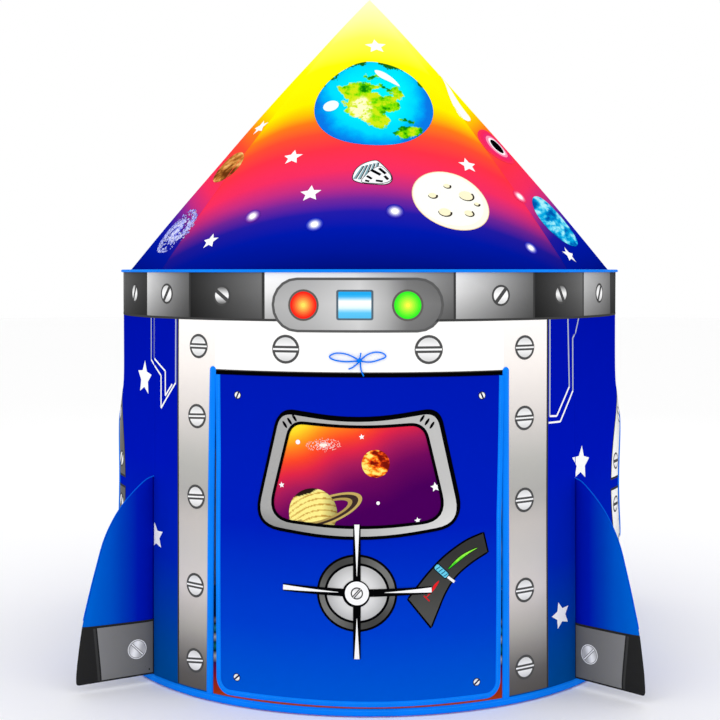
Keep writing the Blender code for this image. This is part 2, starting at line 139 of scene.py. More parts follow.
def roof_profile(s):
    """Radius, height, and the outward normal's radial and upward parts, at s."""
    radius = roof_radius(s)
    height = float(np.interp(s, RUN, HEIGHTS))
    t = (height - EAVE) / (APEX - EAVE)
    along = -ROOF_BASE + 4.0 * ROOF_SWELL * (1.0 - 2.0 * t)
    size = hypot(along, APEX - EAVE)
    return radius, height, (APEX - EAVE) / size, -along / size


def roof_point(phi, s, lift):
    """Outer face of the roof: each gore hangs in a little between its poles."""
    radius, height, out, up = roof_profile(s)
    share = s / SLOPE
    sag = -0.0045 * min(1.0, seam_distance(phi) / 22.0) ** 1.5 * sin(pi * share) ** 0.7
    wave = 0.0016 * sin(radians(phi) * 11.0 + 3.0 * share) * sin(pi * share) ** 2
    push = lift + (sag + wave) * min(1.0, radius / 0.12)
    return ring(phi, radius + push * out, height + push * up)


FIN_EDGE = (
    (0.0, 0.0165), (0.143, 0.0137), (0.1482, 0.0190), (0.1465, 0.0511), (0.1375, 0.118), (0.1255, 0.1711),
    (0.1105, 0.2287), (0.093, 0.2853), (0.063, 0.3375), (0.021, 0.380), (0.0, 0.390),
)
FIN_SWING = {"front_left": -11.0, "front_right": 0.0, "rear_right": 0.0, "rear_left": 0.0}
FIN_PHI = {"front_left": -50.0, "front_right": 50.0, "rear_right": 130.0, "rear_left": -130.0}


def edge_distance(point, outline):
    """Shortest distance from a flat point to a closed outline."""
    best = 1.0
    px, py = point
    for (ax, ay), (bx, by) in zip(outline, outline[1:] + outline[:1]):
        dx, dy = bx - ax, by - ay
        t = max(0.0, min(1.0, ((px - ax) * dx + (py - ay) * dy) / (dx * dx + dy * dy)))
        best = min(best, hypot(px - ax - t * dx, py - ay - t * dy))
    return best


def smooth_line(points, per=6, closed=False):
    """Catmull-Rom points through the given flat ones."""
    points = list(points)
    if closed:
        chain = [points[-1], *points, points[0], points[1]]
    else:
        chain = [points[0], *points, points[-1]]
    line = []
    for a, b, c, d in zip(chain, chain[1:], chain[2:], chain[3:]):
        for i in range(per):
            t = i / per
            line.append(tuple(
                0.5 * (2 * b[k] + (c[k] - a[k]) * t + (2 * a[k] - 5 * b[k] + 4 * c[k] - d[k]) * t * t
                       + (3 * b[k] - a[k] - 3 * c[k] + d[k]) * t ** 3) for k in range(len(b))))
    return line if closed else [*line, points[-1]]


STRIP_TOP = 0.1205
FIN_CURVE = [FIN_EDGE[0], *smooth_line(FIN_EDGE[1:], 4)]


def fin_place(tag, side):
    """Wraps (s, z) onto one face of a padded fin; side is +1 or -1."""
    hinge = HINGES[f"fin_{tag}"]
    turn = radians(FIN_PHI[tag] + FIN_SWING[tag] - 90.0)
    along = Vector((cos(turn), sin(turn), 0.0))
    across = Vector((-sin(turn), cos(turn), 0.0)) * side

    def place(s, z, lift=0.0):
        inside = edge_distance((s, z), FIN_CURVE)
        crown = 0.0046 * (1.0 - exp(-inside / 0.010))
        return Vector((hinge.x, hinge.y, z)) + along * (s - 0.003) + across * (crown + lift)

    return place


# ---- colour and materials ----
def srgb(red, green, blue):
    """Linear colour of a displayed 0 to 255 one."""
    def one(value):
        value = value / 255.0
        return value / 12.92 if value <= 0.04045 else ((value + 0.055) / 1.055) ** 2.4
    return (one(red), one(green), one(blue))


def blend_stops(stops, at):
    """Colour at a place along (place, colour) stops."""
    if at <= stops[0][0]:
        return stops[0][1]
    for (a, one), (b, two) in zip(stops, stops[1:]):
        if at <= b:
            share = (at - a) / max(1e-9, b - a)
            return tuple(x + (y - x) * share for x, y in zip(one, two))
    return stops[-1][1]


def cloudy(x, y, scale, seed):
    """Uneven tone from about -1 to 1."""
    return 2.2 * noise.fractal(Vector((x * scale, y * scale, seed)), 0.6, 2.1, 5)


class Graph:
    """A small builder of one Principled material."""

    def __init__(self, name, roughness=0.6, metallic=0.0, specular=0.0):
        self.material = bpy.data.materials.new(name)
        self.material.use_nodes = True
        self.tree = self.material.node_tree
        self.shader = self.tree.nodes["Principled BSDF"]
        self.shader.inputs["Roughness"].default_value = roughness
        self.shader.inputs["Metallic"].default_value = metallic
        self.shader.inputs["Specular IOR Level"].default_value = specular
        coords = self.tree.nodes.new("ShaderNodeTexCoord")
        self.place = coords.outputs["Object"]
        split = self.tree.nodes.new("ShaderNodeSeparateXYZ")
        self.tree.links.new(self.place, split.inputs[0])
        self.x, self.y, self.z = split.outputs

    def put(self, socket, value):
        if isinstance(value, bpy.types.NodeSocket):
            self.tree.links.new(value, socket)
        elif isinstance(value, (int, float)):
            socket.default_value = value
        else:
            socket.default_value = (*value, 1.0)[:len(socket.default_value)]

    def math(self, operation, *values):
        node = self.tree.nodes.new("ShaderNodeMath")
        node.operation = operation
        for socket, value in zip(node.inputs, values):
            self.put(socket, value)
        return node.outputs[0]

    def scaled(self, value, low, high):
        node = self.tree.nodes.new("ShaderNodeMapRange")
        self.put(node.inputs["Value"], value)
        node.inputs["From Min"].default_value = low
        node.inputs["From Max"].default_value = high
        return node.outputs[0]

    def ramp(self, value, stops):
        node = self.tree.nodes.new("ShaderNodeValToRGB")
        elements = node.color_ramp.elements
        while len(elements) < len(stops):
            elements.new(0.5)
        for element, (place, colour) in zip(elements, stops):
            element.position = place
            element.color = (*srgb(*colour), 1.0)
        self.put(node.inputs[0], value)
        return node.outputs["Color"]

    def noise(self, scale, detail=2.0, stretch=(1.0, 1.0, 1.0), distortion=0.0):
        mapping = self.tree.nodes.new("ShaderNodeMapping")
        self.put(mapping.inputs["Vector"], self.place)
        mapping.inputs["Scale"].default_value = stretch
        node = self.tree.nodes.new("ShaderNodeTexNoise")
        self.put(node.inputs["Vector"], mapping.outputs[0])
        node.inputs["Scale"].default_value = scale
        node.inputs["Detail"].default_value = detail
        node.inputs["Distortion"].default_value = distortion
        return node.outputs[0]

    def mix(self, share, one, two, how="MIX"):
        node = self.tree.nodes.new("ShaderNodeMix")
        node.data_type = "RGBA"
        node.blend_type = how
        self.put(node.inputs[0], share)
        self.put(node.inputs[6], one)
        self.put(node.inputs[7], two)
        return node.outputs[2]

    def angle(self):
        """Degrees round the tent."""
        return self.math("DEGREES", self.math("ARCTAN2", self.x, self.math("MULTIPLY", self.y, -1.0)))

    def length(self, one, two):
        """Long side of a right angle's triangle."""
        squares = [self.math("MULTIPLY", side, side) for side in (one, two)]
        return self.math("SQRT", self.math("ADD", *squares))

    def bump(self, height, strength, distance):
        node = self.tree.nodes.new("ShaderNodeBump")
        node.inputs["Strength"].default_value = strength
        node.inputs["Distance"].default_value = distance
        self.put(node.inputs["Height"], height)
        return node

    def weave(self, strength=0.25, pitch=0.0011, creases=0.35):
        """Plain weave and soft creases, as bump."""
        thread = 2.0 * pi / pitch
        warp = self.math("SINE", self.math("MULTIPLY", self.math("ADD", self.x, self.y), thread))
        weft = self.math("SINE", self.math("MULTIPLY", self.z, thread))
        fine = self.bump(self.math("MULTIPLY", warp, weft), strength, 0.00012)
        soft = self.bump(self.noise(6.0, 3.0, (1.0, 1.0, 0.6), 0.6), creases, 0.006)
        self.put(soft.inputs["Normal"], fine.outputs[0])
        self.put(self.shader.inputs["Normal"], soft.outputs[0])

    def grain(self, scale):
        """Fine even roughness, as bump."""
        self.put(self.shader.inputs["Normal"], self.bump(self.noise(scale), 0.2, 0.0002).outputs[0])

    def colour(self, value, variation):
        """Sets the base colour, with a faint uneven dye."""
        shade = self.math("MULTIPLY_ADD", self.noise(38.0, 4.0), variation, 1.0 - variation / 2)
        combined = self.tree.nodes.new("ShaderNodeCombineColor")
        for socket in combined.inputs[:3]:
            self.put(socket, shade)
        self.put(self.shader.inputs["Base Color"], self.mix(1.0, value, combined.outputs[0], "MULTIPLY"))


def constant(graph, colour):
    """A colour that the faint dye variation can multiply."""
    return graph.ramp(graph.noise(9.0, 1.0), ((0.35, tuple(0.96 * c for c in colour)), (0.65, colour)))


ROOF_COLOURS = (
    (0.0, (252, 255, 200)), (0.09, (252, 255, 160)), (0.17, (254, 254, 90)), (0.27, (255, 252, 10)),
    (0.41, (255, 240, 0)),
    (0.455, (255, 190, 8)), (0.49, (255, 120, 25)), (0.54, (255, 75, 50)), (0.60, (252, 50, 70)),
    (0.68, (242, 46, 96)), (0.73, (196, 45, 126)), (0.775, (112, 38, 152)), (0.815, (34, 28, 168)),
    (0.87, (0, 26, 180)), (0.94, (0, 24, 170)), (1.0, (0, 20, 148)),
)
WALL_COLOURS = ((0.0, (0, 78, 150)), (0.12, (0, 70, 158)), (0.35, (0, 35, 178)), (0.6, (0, 20, 180)),
                (1.0, (0, 16, 168)))
FLAP_COLOURS = ((0.0, (0, 94, 212)), (0.25, (0, 62, 203)), (0.55, (0, 30, 186)), (1.0, (0, 24, 176)))


def roof_cloth():
    """Roof print: bands of colour that run straight across each flat gore, with painted shade darkening it near
    the eave.
    """
    graph = Graph("roof_print")
    turn = graph.math("ABSOLUTE", graph.angle())
    side = graph.math("ABSOLUTE", graph.math("SUBTRACT", turn, 90.0))
    rear = graph.math("SUBTRACT", 180.0, turn)
    in_front = graph.math("LESS_THAN", turn, 50.0)
    in_rear = graph.math("GREATER_THAN", turn, 130.0)
    in_side = graph.math("SUBTRACT", 1.0, graph.math("ADD", in_front, in_rear))
    off = graph.math("ADD", graph.math("MULTIPLY", turn, in_front),
                     graph.math("ADD", graph.math("MULTIPLY", rear, in_rear),
                                graph.math("MULTIPLY", side, in_side)))
    slant = graph.length(graph.length(graph.x, graph.y), graph.math("SUBTRACT", APEX, graph.z))
    flat = graph.math("COSINE", graph.math("MULTIPLY", graph.math("RADIANS", off), CONE_SINE))
    share = graph.math("DIVIDE", graph.math("MULTIPLY", slant, flat), SLOPE)
    # Painted shade: over the lowest fifth of the slope, next to the eave, the print is multiplied darker.
    eave_shade_mask = graph.scaled(graph.math("DIVIDE", slant, SLOPE), 0.80, 1.0)
    shade = graph.ramp(eave_shade_mask, ((0.0, (255, 255, 255)), (1.0, (206, 216, 206))))
    graph.colour(graph.mix(1.0, graph.ramp(share, ROOF_COLOURS), shade, "MULTIPLY"), 0.04)
    graph.weave()
    return graph.material


def upright_cloth(name, stops, low, high):
    """Cloth whose print changes with height."""
    graph = Graph(name)
    graph.colour(graph.ramp(graph.scaled(graph.z, low, high), stops), 0.04)
    graph.weave()
    return graph.material


def ink_cloth():
    """Printed colours carried on the artwork's own points."""
    graph = Graph("printed_ink")
    ink = graph.tree.nodes.new("ShaderNodeVertexColor")
    ink.layer_name = "ink"
    graph.colour(ink.outputs["Color"], 0.03)
    graph.weave()
    return graph.material


def plain(name, colour, roughness=0.6, metallic=0.0, weave=False, grain=900.0, specular=0.02):
    """One colour, woven or grained."""
    graph = Graph(name, roughness, metallic, specular)
    graph.colour(constant(graph, colour), 0.08)
    if weave:
        graph.weave(0.4, 0.0016, 0.1)
    else:
        graph.grain(grain)
    return graph.material


def fin_cloth(tag):
    """Blue that lightens away from the fin's root."""
    graph = Graph(f"fin_print_{tag}")
    hinge = HINGES[f"fin_{tag}"]
    reach = graph.length(graph.math("SUBTRACT", graph.x, hinge.x), graph.math("SUBTRACT", graph.y, hinge.y))
    stops = ((0.0, (0, 18, 168)), (0.25, (0, 26, 180)), (0.5, (0, 62, 188)), (0.7, (0, 84, 200)),
             (1.0, (0, 98, 208)))
    blue = graph.ramp(graph.scaled(reach, 0.0, 0.12), stops)
    below = graph.math("LESS_THAN", graph.z, STRIP_TOP)
    graph.colour(graph.mix(below, blue, srgb(40, 40, 40)), 0.04)
    graph.weave()
    return graph.material


DAYLIGHT = 0.30


def lit_through(graph):
    """Painted light: a little of the print's own colour glows, standing in for the daylight that comes through the
    cloth.
    """
    source = graph.shader.inputs["Base Color"].links[0].from_socket
    graph.put(graph.shader.inputs["Emission Color"], source)
    graph.shader.inputs["Emission Strength"].default_value = DAYLIGHT


def lining_cloth():
    """Inside print: a control desk low on the wall, and night sky above it."""
    graph = Graph("lining_print")
    height = graph.scaled(graph.z, 0.0, EAVE)
    graph.colour(graph.ramp(height, (
        (0.0, (18, 22, 34)), (0.05, (96, 104, 112)), (0.09, (28, 34, 48)), (0.13, (120, 128, 136)),
        (0.17, (34, 40, 56)), (0.20, (10, 16, 40)), (0.26, (128, 132, 138)), (0.36, (150, 154, 158)),
        (0.38, (8, 30, 110)), (0.60, (0, 24, 150)), (1.0, (0, 16, 120)))), 0.05)
    graph.weave()
    # Painted light: the lining print glows faintly for the daylight through the cloth.
    lit_through(graph)
    return graph.material


def floor_cloth():
    """Floor print: a glow by the door, then small coloured tiles, then night."""
    graph = Graph("floor_print")
    uneven = graph.math("MULTIPLY", graph.noise(9.0), 0.03)
    depth = graph.math("ADD", graph.scaled(graph.y, -0.5, 0.5), uneven)
    stops = [(0.0, (255, 110, 20)), (0.16, (240, 70, 40)), (0.24, (190, 30, 60)), (0.31, (90, 30, 110))]
    tiles = ((235, 240, 240), (16, 20, 30), (40, 150, 140), (14, 60, 70), (225, 235, 240), (20, 24, 36),
             (60, 170, 190), (12, 16, 40), (130, 134, 140), (16, 22, 60))
    stops += [(0.35 + 0.035 * k, tile) for k, tile in enumerate(tiles)]
    graph.colour(graph.ramp(depth, [*stops, (1.0, (8, 16, 90))]), 0.06)
    graph.weave()
    # Painted light: the floor print glows faintly for the daylight through the cloth.
    lit_through(graph)
    return graph.material


MAT = {
    "roof": roof_cloth(),
    "wall": upright_cloth("wall_print", WALL_COLOURS, 0.0, 0.7),
    "flap": upright_cloth("flap_print", FLAP_COLOURS, 0.0, 0.6),
    "ink": ink_cloth(),
    "lining": lining_cloth(),
    "floor": floor_cloth(),
    "binding": plain("binding_tape", (6, 132, 255), weave=True),
    "thread": plain("thread", (40, 150, 255)),
    "piping": plain("fin_piping", (0, 92, 220)),
    "net": plain("window_net", (30, 32, 40), 0.7, grain=1500.0),
    "cord": plain("tie_cord", (0, 126, 250), grain=2500.0),
    "pole": plain("fibreglass", (222, 220, 208), 0.35, grain=1200.0, specular=0.5),
    "steel": plain("ferrule_steel", (176, 178, 182), 0.28, metallic=1.0, grain=500.0, specular=0.5),
    "plastic": plain("black_plastic", (26, 26, 28), 0.5, grain=1800.0, specular=0.4),
}


# ---- mesh helpers ----
def keep(name, mesh, material, body, slot=None, replaces=()):
    """Links a finished mesh under its name, rides it on its body and hides the CAD parts it replaces."""
    piece = bpy.data.objects.new(name, mesh)
    bpy.context.scene.collection.objects.link(piece)
    mesh.materials.clear()
    mesh.materials.append(MAT[material] if isinstance(material, str) else material)
    if body:
        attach(piece, body)
    if replaces:
        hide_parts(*replaces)
    return piece


def cut_sheet(outline, holes, steps):
    """A filled flat outline, cut up finely enough to be bent."""
    sheet = bmesh.new()
    for loop in (outline, *holes):
        corners = [sheet.verts.new((a, b, 0.0)) for a, b in loop]
        for one, two in zip(corners, corners[1:] + corners[:1]):
            sheet.edges.new((one, two))
    bmesh.ops.triangle_fill(sheet, use_beauty=True, edges=sheet.edges[:], normal=(0.0, 0.0, 1.0))
    for axis in (0, 1):
        normal = (1.0, 0.0, 0.0) if axis == 0 else (0.0, 1.0, 0.0)
        low = min(v.co[axis] for v in sheet.verts)
        high = max(v.co[axis] for v in sheet.verts)
        step = steps[axis]
        for k in range(ceil(low / step), ceil(high / step)):
            bmesh.ops.bisect_plane(
                sheet, geom=[*sheet.verts, *sheet.edges, *sheet.faces], dist=0.0000005,
                plane_co=tuple(k * step * n for n in normal), plane_no=normal)
    bmesh.ops.recalc_face_normals(sheet, faces=sheet.faces)
    if sheet.faces and sum(f.normal.z * f.calc_area() for f in sheet.faces) < 0:
        bmesh.ops.reverse_faces(sheet, faces=sheet.faces)
    return sheet


def point_mesh(name, points, faces, weld=0.0, sharp=None, smooth=True):
    """A mesh with its faces turned outward, near points welded and sharp edges kept if asked."""
    mesh = bpy.data.meshes.new(name)
    mesh.from_pydata(points, [], faces)
    work = bmesh.new()
    work.from_mesh(mesh)
    if weld:
        bmesh.ops.remove_doubles(work, verts=work.verts, dist=weld)
    bmesh.ops.recalc_face_normals(work, faces=work.faces)
    work.to_mesh(mesh)
    work.free()
    if smooth:
        mesh.shade_smooth()
    if sharp:
        mesh.set_sharp_from_angle(angle=radians(sharp))
    return mesh


def tube_faces(rows, wide, closed):
    """Faces between rows of wide points each, every row a closed loop; the rows close up too if asked."""
    faces = []
    for i in range(rows if closed else rows - 1):
        k = (i + 1) % rows
        for j in range(wide):
            m = (j + 1) % wide
            faces.append((i * wide + j, i * wide + m, k * wide + m, k * wide + j))
    return faces


def thick_mesh(name, points, faces, thickness, tints=None):
    """A closed skin from an open one, its outer face kept where it is."""
    mesh = bpy.data.meshes.new(name)
    mesh.from_pydata(points, [], faces)
    if tints:
        layer = mesh.color_attributes.new("ink", "FLOAT_COLOR", "POINT")
        layer.data.foreach_set("color", np.array([(*c, 1.0) for c in tints], np.float32).ravel())
    holder = bpy.data.objects.new(f"{name}_holder", mesh)
    bpy.context.scene.collection.objects.link(holder)
    solid = holder.modifiers.new("thickness", "SOLIDIFY")
    solid.thickness = thickness
    solid.offset = -1.0
    evaluated = holder.evaluated_get(bpy.context.evaluated_depsgraph_get())
    done = bpy.data.meshes.new_from_object(evaluated)
    bpy.data.objects.remove(holder, do_unlink=True)
    bpy.data.meshes.remove(mesh)
    done.shade_smooth()
    done.set_sharp_from_angle(angle=radians(35.0))
    done.name = name
    return done


class Artwork:
    """Shapes printed on one cloth, gathered and then wrapped onto it as a thin skin of ink.

    Outlines are (phi, v) on the wall and roof, and (s, z) on a fin.
    """

    def __init__(self, name, place, body, scale=DEGREE, steps=(0.016, 0.02), slot=None):
        self.name = name
        self.place = place
        self.body = body
        self.scale = scale
        self.steps = steps
        self.slot = slot
        self.points = []
        self.faces = []
        self.tints = []

    def add(self, outline, ink, level=1, holes=(), steps=None):
        flat = [[(a * self.scale, b) for a, b in loop] for loop in (outline, *holes)]
        sheet = cut_sheet(flat[0], flat[1:], steps or self.steps)
        start = len(self.points)
        for index, vert in enumerate(sheet.verts):
            vert.index = index
            a, b = vert.co.x / self.scale, vert.co.y
            self.points.append(self.place(a, b, INK_LIFT + level * INK_STEP))
            self.tints.append(srgb(*(ink(a, b) if callable(ink) else ink)))
        for face in sheet.faces:
            self.faces.append([start + v.index for v in face.verts])
        sheet.free()

    def build(self):
        mesh = thick_mesh(self.name, self.points, self.faces, INK_STEP * 0.8, self.tints)
        return keep(self.name, mesh, "ink", self.body, self.slot)


def turned(shape, turn):
    c, s = cos(radians(turn)), sin(radians(turn))
    return [(a * c - b * s, a * s + b * c) for a, b in shape]


def about(phi, v, shape, turn=0.0):
    """Moves a shape in metres to a place on the wall."""
    return [(phi + degrees(x / WALL), v + y) for x, y in turned(shape, turn)]


def on_roof(phi, s, shape, turn=0.0):
    """Moves a shape in metres to a place on the roof, laid out flat as the cloth was printed."""
    reach = SLOPE - s
    moved = []
    for x, y in turned(shape, turn):
        moved.append((phi + degrees(atan2(x, reach - y)) / CONE_SINE, SLOPE - hypot(x, reach - y)))
    return moved


def oval(a, b=None, count=28):
    b = a if b is None else b
    return [(a * cos(2 * pi * i / count), b * sin(2 * pi * i / count)) for i in range(count)]


def arc(start, end, count=40):
    return [(cos(turn), sin(turn)) for turn in np.linspace(start, end, count)]


def star(size, inner=0.47):
    """Five points, the first one up."""
    points = []
    for i in range(10):
        reach = size if i % 2 == 0 else size * inner
        turn = pi / 2 + pi * i / 5
        points.append((reach * cos(turn), reach * sin(turn)))
    return points


def rounded(corners):
    """An outline through (x, y, radius) corners, each one rounded off by its radius."""
    line = []
    per = 8
    count = len(corners)
    for i, (x, y, radius) in enumerate(corners):
        ends = []
        for other in (corners[i - 1], corners[(i + 1) % count]):
            size = hypot(other[0] - x, other[1] - y)
            share = min(0.5, radius / size)
            ends.append((x + (other[0] - x) * share, y + (other[1] - y) * share))
        (ax, ay), (bx, by) = ends
        for k in range(per + 1):
            t = k / per
            line.append(((1 - t) ** 2 * ax + 2 * t * (1 - t) * x + t * t * bx,
                         (1 - t) ** 2 * ay + 2 * t * (1 - t) * y + t * t * by))
    return line


def wall_metres(points):
    """Flat (phi, z) places as metres along the wall, keeping any third value."""
    return [(radians(p[0]) * WALL, *p[1:]) for p in points]


def wall_degrees(points):
    return [(degrees(x / WALL), y) for x, y in points]


def grown(outline, by):
    """An outline moved outward by a distance, or inward if negative."""
    count = len(outline)
    area = sum(a[0] * b[1] - b[0] * a[1] for a, b in zip(outline, outline[1:] + outline[:1]))
    sign = 1.0 if area > 0 else -1.0
    moved = []
    for i, (x, y) in enumerate(outline):
        ax, ay = outline[i - 1]
        bx, by2 = outline[(i + 1) % count]
        size = max(1e-9, hypot(bx - ax, by2 - ay))
        moved.append((x + sign * (by2 - ay) / size * by, y - sign * (bx - ax) / size * by))
    return moved


def box_shape(width, height, corner=0.0):
    """A rectangle about the origin, with round corners if asked."""
    count = 5
    if not corner:
        return [(-width / 2, -height / 2), (width / 2, -height / 2), (width / 2, height / 2),
                (-width / 2, height / 2)]
    points = []
    for quarter, (sx, sy) in enumerate(((1, 1), (-1, 1), (-1, -1), (1, -1))):
        for i in range(count + 1):
            turn = pi / 2 * (quarter + i / count)
            points.append((sx * (width / 2 - corner) + corner * cos(turn),
                           sy * (height / 2 - corner) + corner * sin(turn)))
    return points


def patch(phi0, phi1, v0, v1):
    return [(phi0, v0), (phi1, v0), (phi1, v1), (phi0, v1)]


def bar(start, end, width, width_end=None):
    """A straight bar between two flat points."""
    (ax, ay), (bx, by) = start, end
    size = hypot(bx - ax, by - ay)
    nx, ny = -(by - ay) / size / 2, (bx - ax) / size / 2
    w, e = width, width if width_end is None else width_end
    return [(ax - nx * w, ay - ny * w), (bx - nx * e, by - ny * e), (bx + nx * e, by + ny * e),
            (ax + nx * w, ay + ny * w)]


def stroke(points, width, end_width):
    """A band of tapering width along flat points."""
    left, right = [], []
    for i, (x, y) in enumerate(points):
        ax, ay = points[max(0, i - 1)]
        bx, by = points[min(len(points) - 1, i + 1)]
        size = max(1e-9, hypot(bx - ax, by - ay))
        share = i / (len(points) - 1)
        half = (width + (end_width - width) * share) / 2
        nx, ny = -(by - ay) / size * half, (bx - ax) / size * half
        left.append((x + nx, y + ny))
        right.append((x - nx, y - ny))
    return right + left[::-1]


# ---- cloth panels ----
HOOPS = ["base_hoop", "eave_hoop"]


def cloth_panel(name, outline, holes, place, material, replaces, body="root", step=0.012, slot="wall_print",
                thickness=CLOTH):
    """A sheet of cloth cut to an outline of (phi, z), wrapped onto its place."""
    flat = [[(a * DEGREE, b) for a, b in loop] for loop in (outline, *holes)]
    sheet = cut_sheet(flat[0], flat[1:], (step, step))
    points = []
    for index, vert in enumerate(sheet.verts):
        vert.index = index
        points.append(place(vert.co.x / DEGREE, vert.co.y, 0.0))
    faces = [[v.index for v in face.verts] for face in sheet.faces]
    sheet.free()
    return keep(name, thick_mesh(name, points, faces, thickness), material, body, slot, replaces)


def arc_width(start, end):
    return radians(end - start) * WALL


def door_edge(side, z):
    """Angle of the door opening's edge at a height; the left one leans out downwards."""
    return DOOR_LEFT - DOOR_FLARE * (1.0 - z / DOOR_TOP) ** 0.8 if side < 0 else DOOR_RIGHT


def make_walls():
    """Four wall panels between the pole seams: the door in front, a round window each side."""
    low = 0.003
    door = [(SEAMS[1], low), (door_edge(-1, low), low), (door_edge(-1, DOOR_TOP), DOOR_TOP),
            (door_edge(1, DOOR_TOP), DOOR_TOP), (door_edge(1, low), low), (SEAMS[2], low), (SEAMS[2], EAVE),
            (SEAMS[1], EAVE)]
    windows = [about(centre, WINDOW_Z, oval(WINDOW_R, count=72)) for centre in (-90.0, 90.0)]
    doorway = arc_width(DOOR_LEFT, DOOR_RIGHT) * (DOOR_TOP - low)
    porthole = pi * WINDOW_R ** 2
    for tag, start, end, outline, holes, cut in (
            ("front", SEAMS[1], SEAMS[2], door, [], doorway),
            ("left", SEAMS[0], SEAMS[1], None, windows[:1], porthole),
            ("right", SEAMS[2], SEAMS[3], None, windows[1:], porthole),
            ("rear", SEAMS[3], 360.0 + SEAMS[0], None, [], 0.0)):
        piece = cloth_panel(f"{tag}_wall_cloth", outline or patch(start, end, low, EAVE), holes, wall_point,
                            "wall", [f"wall_panel_{tag}"])
        flat = (arc_width(start, end), EAVE - low)


def make_lining():
    """Inner face of the walls, with its own print; open at the door and the windows."""
    low = 0.012
    top = EAVE - 0.010

    def place(phi, z, lift):
        return wall_point((phi + 180.0) % 360.0 - 180.0, z, lift - 0.0011)

    start = door_edge(1, low) + 0.2
    end = 360.0 + door_edge(-1, low) - 0.2
    holes = [about(centre, WINDOW_Z, oval(WINDOW_R + 0.002, count=48)) for centre in (90.0, 270.0)]
    above_door = patch(end - 359.9, start - 0.1, DOOR_TOP + 0.003, top)
    for name, outline, cuts, flat, hoops in (
            ("wall_lining", patch(start, end, low, top), holes, (arc_width(start, end), top - low), HOOPS),
            ("header_lining", above_door, [], (arc_width(end - 360.0, start), top - DOOR_TOP), HOOPS[1:])):
        piece = cloth_panel(name, outline, cuts, place, "lining", [], step=0.02, thickness=0.0003)
        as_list(hoops)


def round_sheet(name, columns, rows, place, thickness):
    """A regular sheet that closes on itself round the tent."""
    points = [place(a, b, 0.0) for b in rows for a in columns]
    return thick_mesh(name, points, tube_faces(len(rows), len(columns), False), thickness)


def make_roof():
    """One continuous pointed roof."""
    top = SLOPE * 0.9985
    rows = sorted(min(SLOPE * (1.0 - (1.0 - j / 64) ** 1.15), top) for j in range(65))
    mesh = round_sheet("roof_cloth", full_circle(), rows, roof_point, CLOTH)
    roof = keep("roof_cloth", mesh, "roof", "root", "roof_print",
                [f"roof_gore_{side}" for side in ("front", "left", "right", "rear")])


def make_floor():
    """Sewn-in floor sheet with faint creases."""
    columns = [i * 4.0 for i in range(90)]
    rows = [(WALL - 0.002) * (0.02 + 0.98 * j / 26) for j in range(27)]

    def place(phi, radius, lift):
        fold = 0.0012 * sin(radius * 40.0 + radians(phi) * 3.0) ** 2 * (1.0 - radius / WALL)
        return ring(phi, radius, 0.0014 + fold + lift)

    mesh = round_sheet("floor_cloth", columns, rows[::-1], place, 0.0012)
    floor = keep("floor_cloth", mesh, "floor", "root", "floor", ["floor_sheet"])


# ---- tapes, seams and stitches ----
TAPE = ((-1.0, 0.0), (-1.0, 0.55), (-0.78, 0.88), (-0.35, 1.0), (0.35, 1.0), (0.78, 0.88), (1.0, 0.55),
        (1.0, 0.0))


def tape_mesh(name, path, place, half, low, high, closed=False, rounded_end=False):
    """A soft-edged tape along a path on a cloth, from low to high above its face."""
    points = []
    count = len(path)
    for i, (a, b) in enumerate(path):
        before = path[(i - 1) % count] if closed or i else path[i]
        after = path[(i + 1) % count] if closed or i < count - 1 else path[i]
        dx = ((after[0] - before[0] + 180.0) % 360.0 - 180.0) * DEGREE
        dy = after[1] - before[1]
        size = max(1e-9, hypot(dx, dy))
        nx, ny = -dy / size, dx / size
        wide_here = half
        if rounded_end:
            to_end = hypot((path[-1][0] - a) * DEGREE, path[-1][1] - b)
            wide_here = half * sqrt(max(0.02, 1.0 - max(0.0, 1.0 - to_end / half) ** 2))
        for across, up in TAPE:
            points.append(place(a + across * wide_here * nx / DEGREE, b + across * wide_here * ny,
                                low + (high - low) * up))
    wide = len(TAPE)
    faces = tube_faces(count, wide, closed)
    if not closed:
        faces.append(tuple(range(wide))[::-1])
        faces.append(tuple((count - 1) * wide + j for j in range(wide)))
    return point_mesh(name, points, faces, sharp=50.0)


def resample(path, spacing, closed=False):
    """Evenly spaced points along a path of (phi, z)."""
    line = list(path) + ([path[0]] if closed else [])
    lengths = [0.0]
    for (a, b), (c, d) in zip(line, line[1:]):
        lengths.append(lengths[-1] + hypot((c - a) * DEGREE, d - b))
    count = max(2, int(round(lengths[-1] / spacing)))
    places = np.linspace(0.0, lengths[-1], count + 1)
    if closed:
        places = places[:-1]
    xs = np.interp(places, lengths, [p[0] for p in line])
    ys = np.interp(places, lengths, [p[1] for p in line])
    return list(zip(xs.tolist(), ys.tolist()))


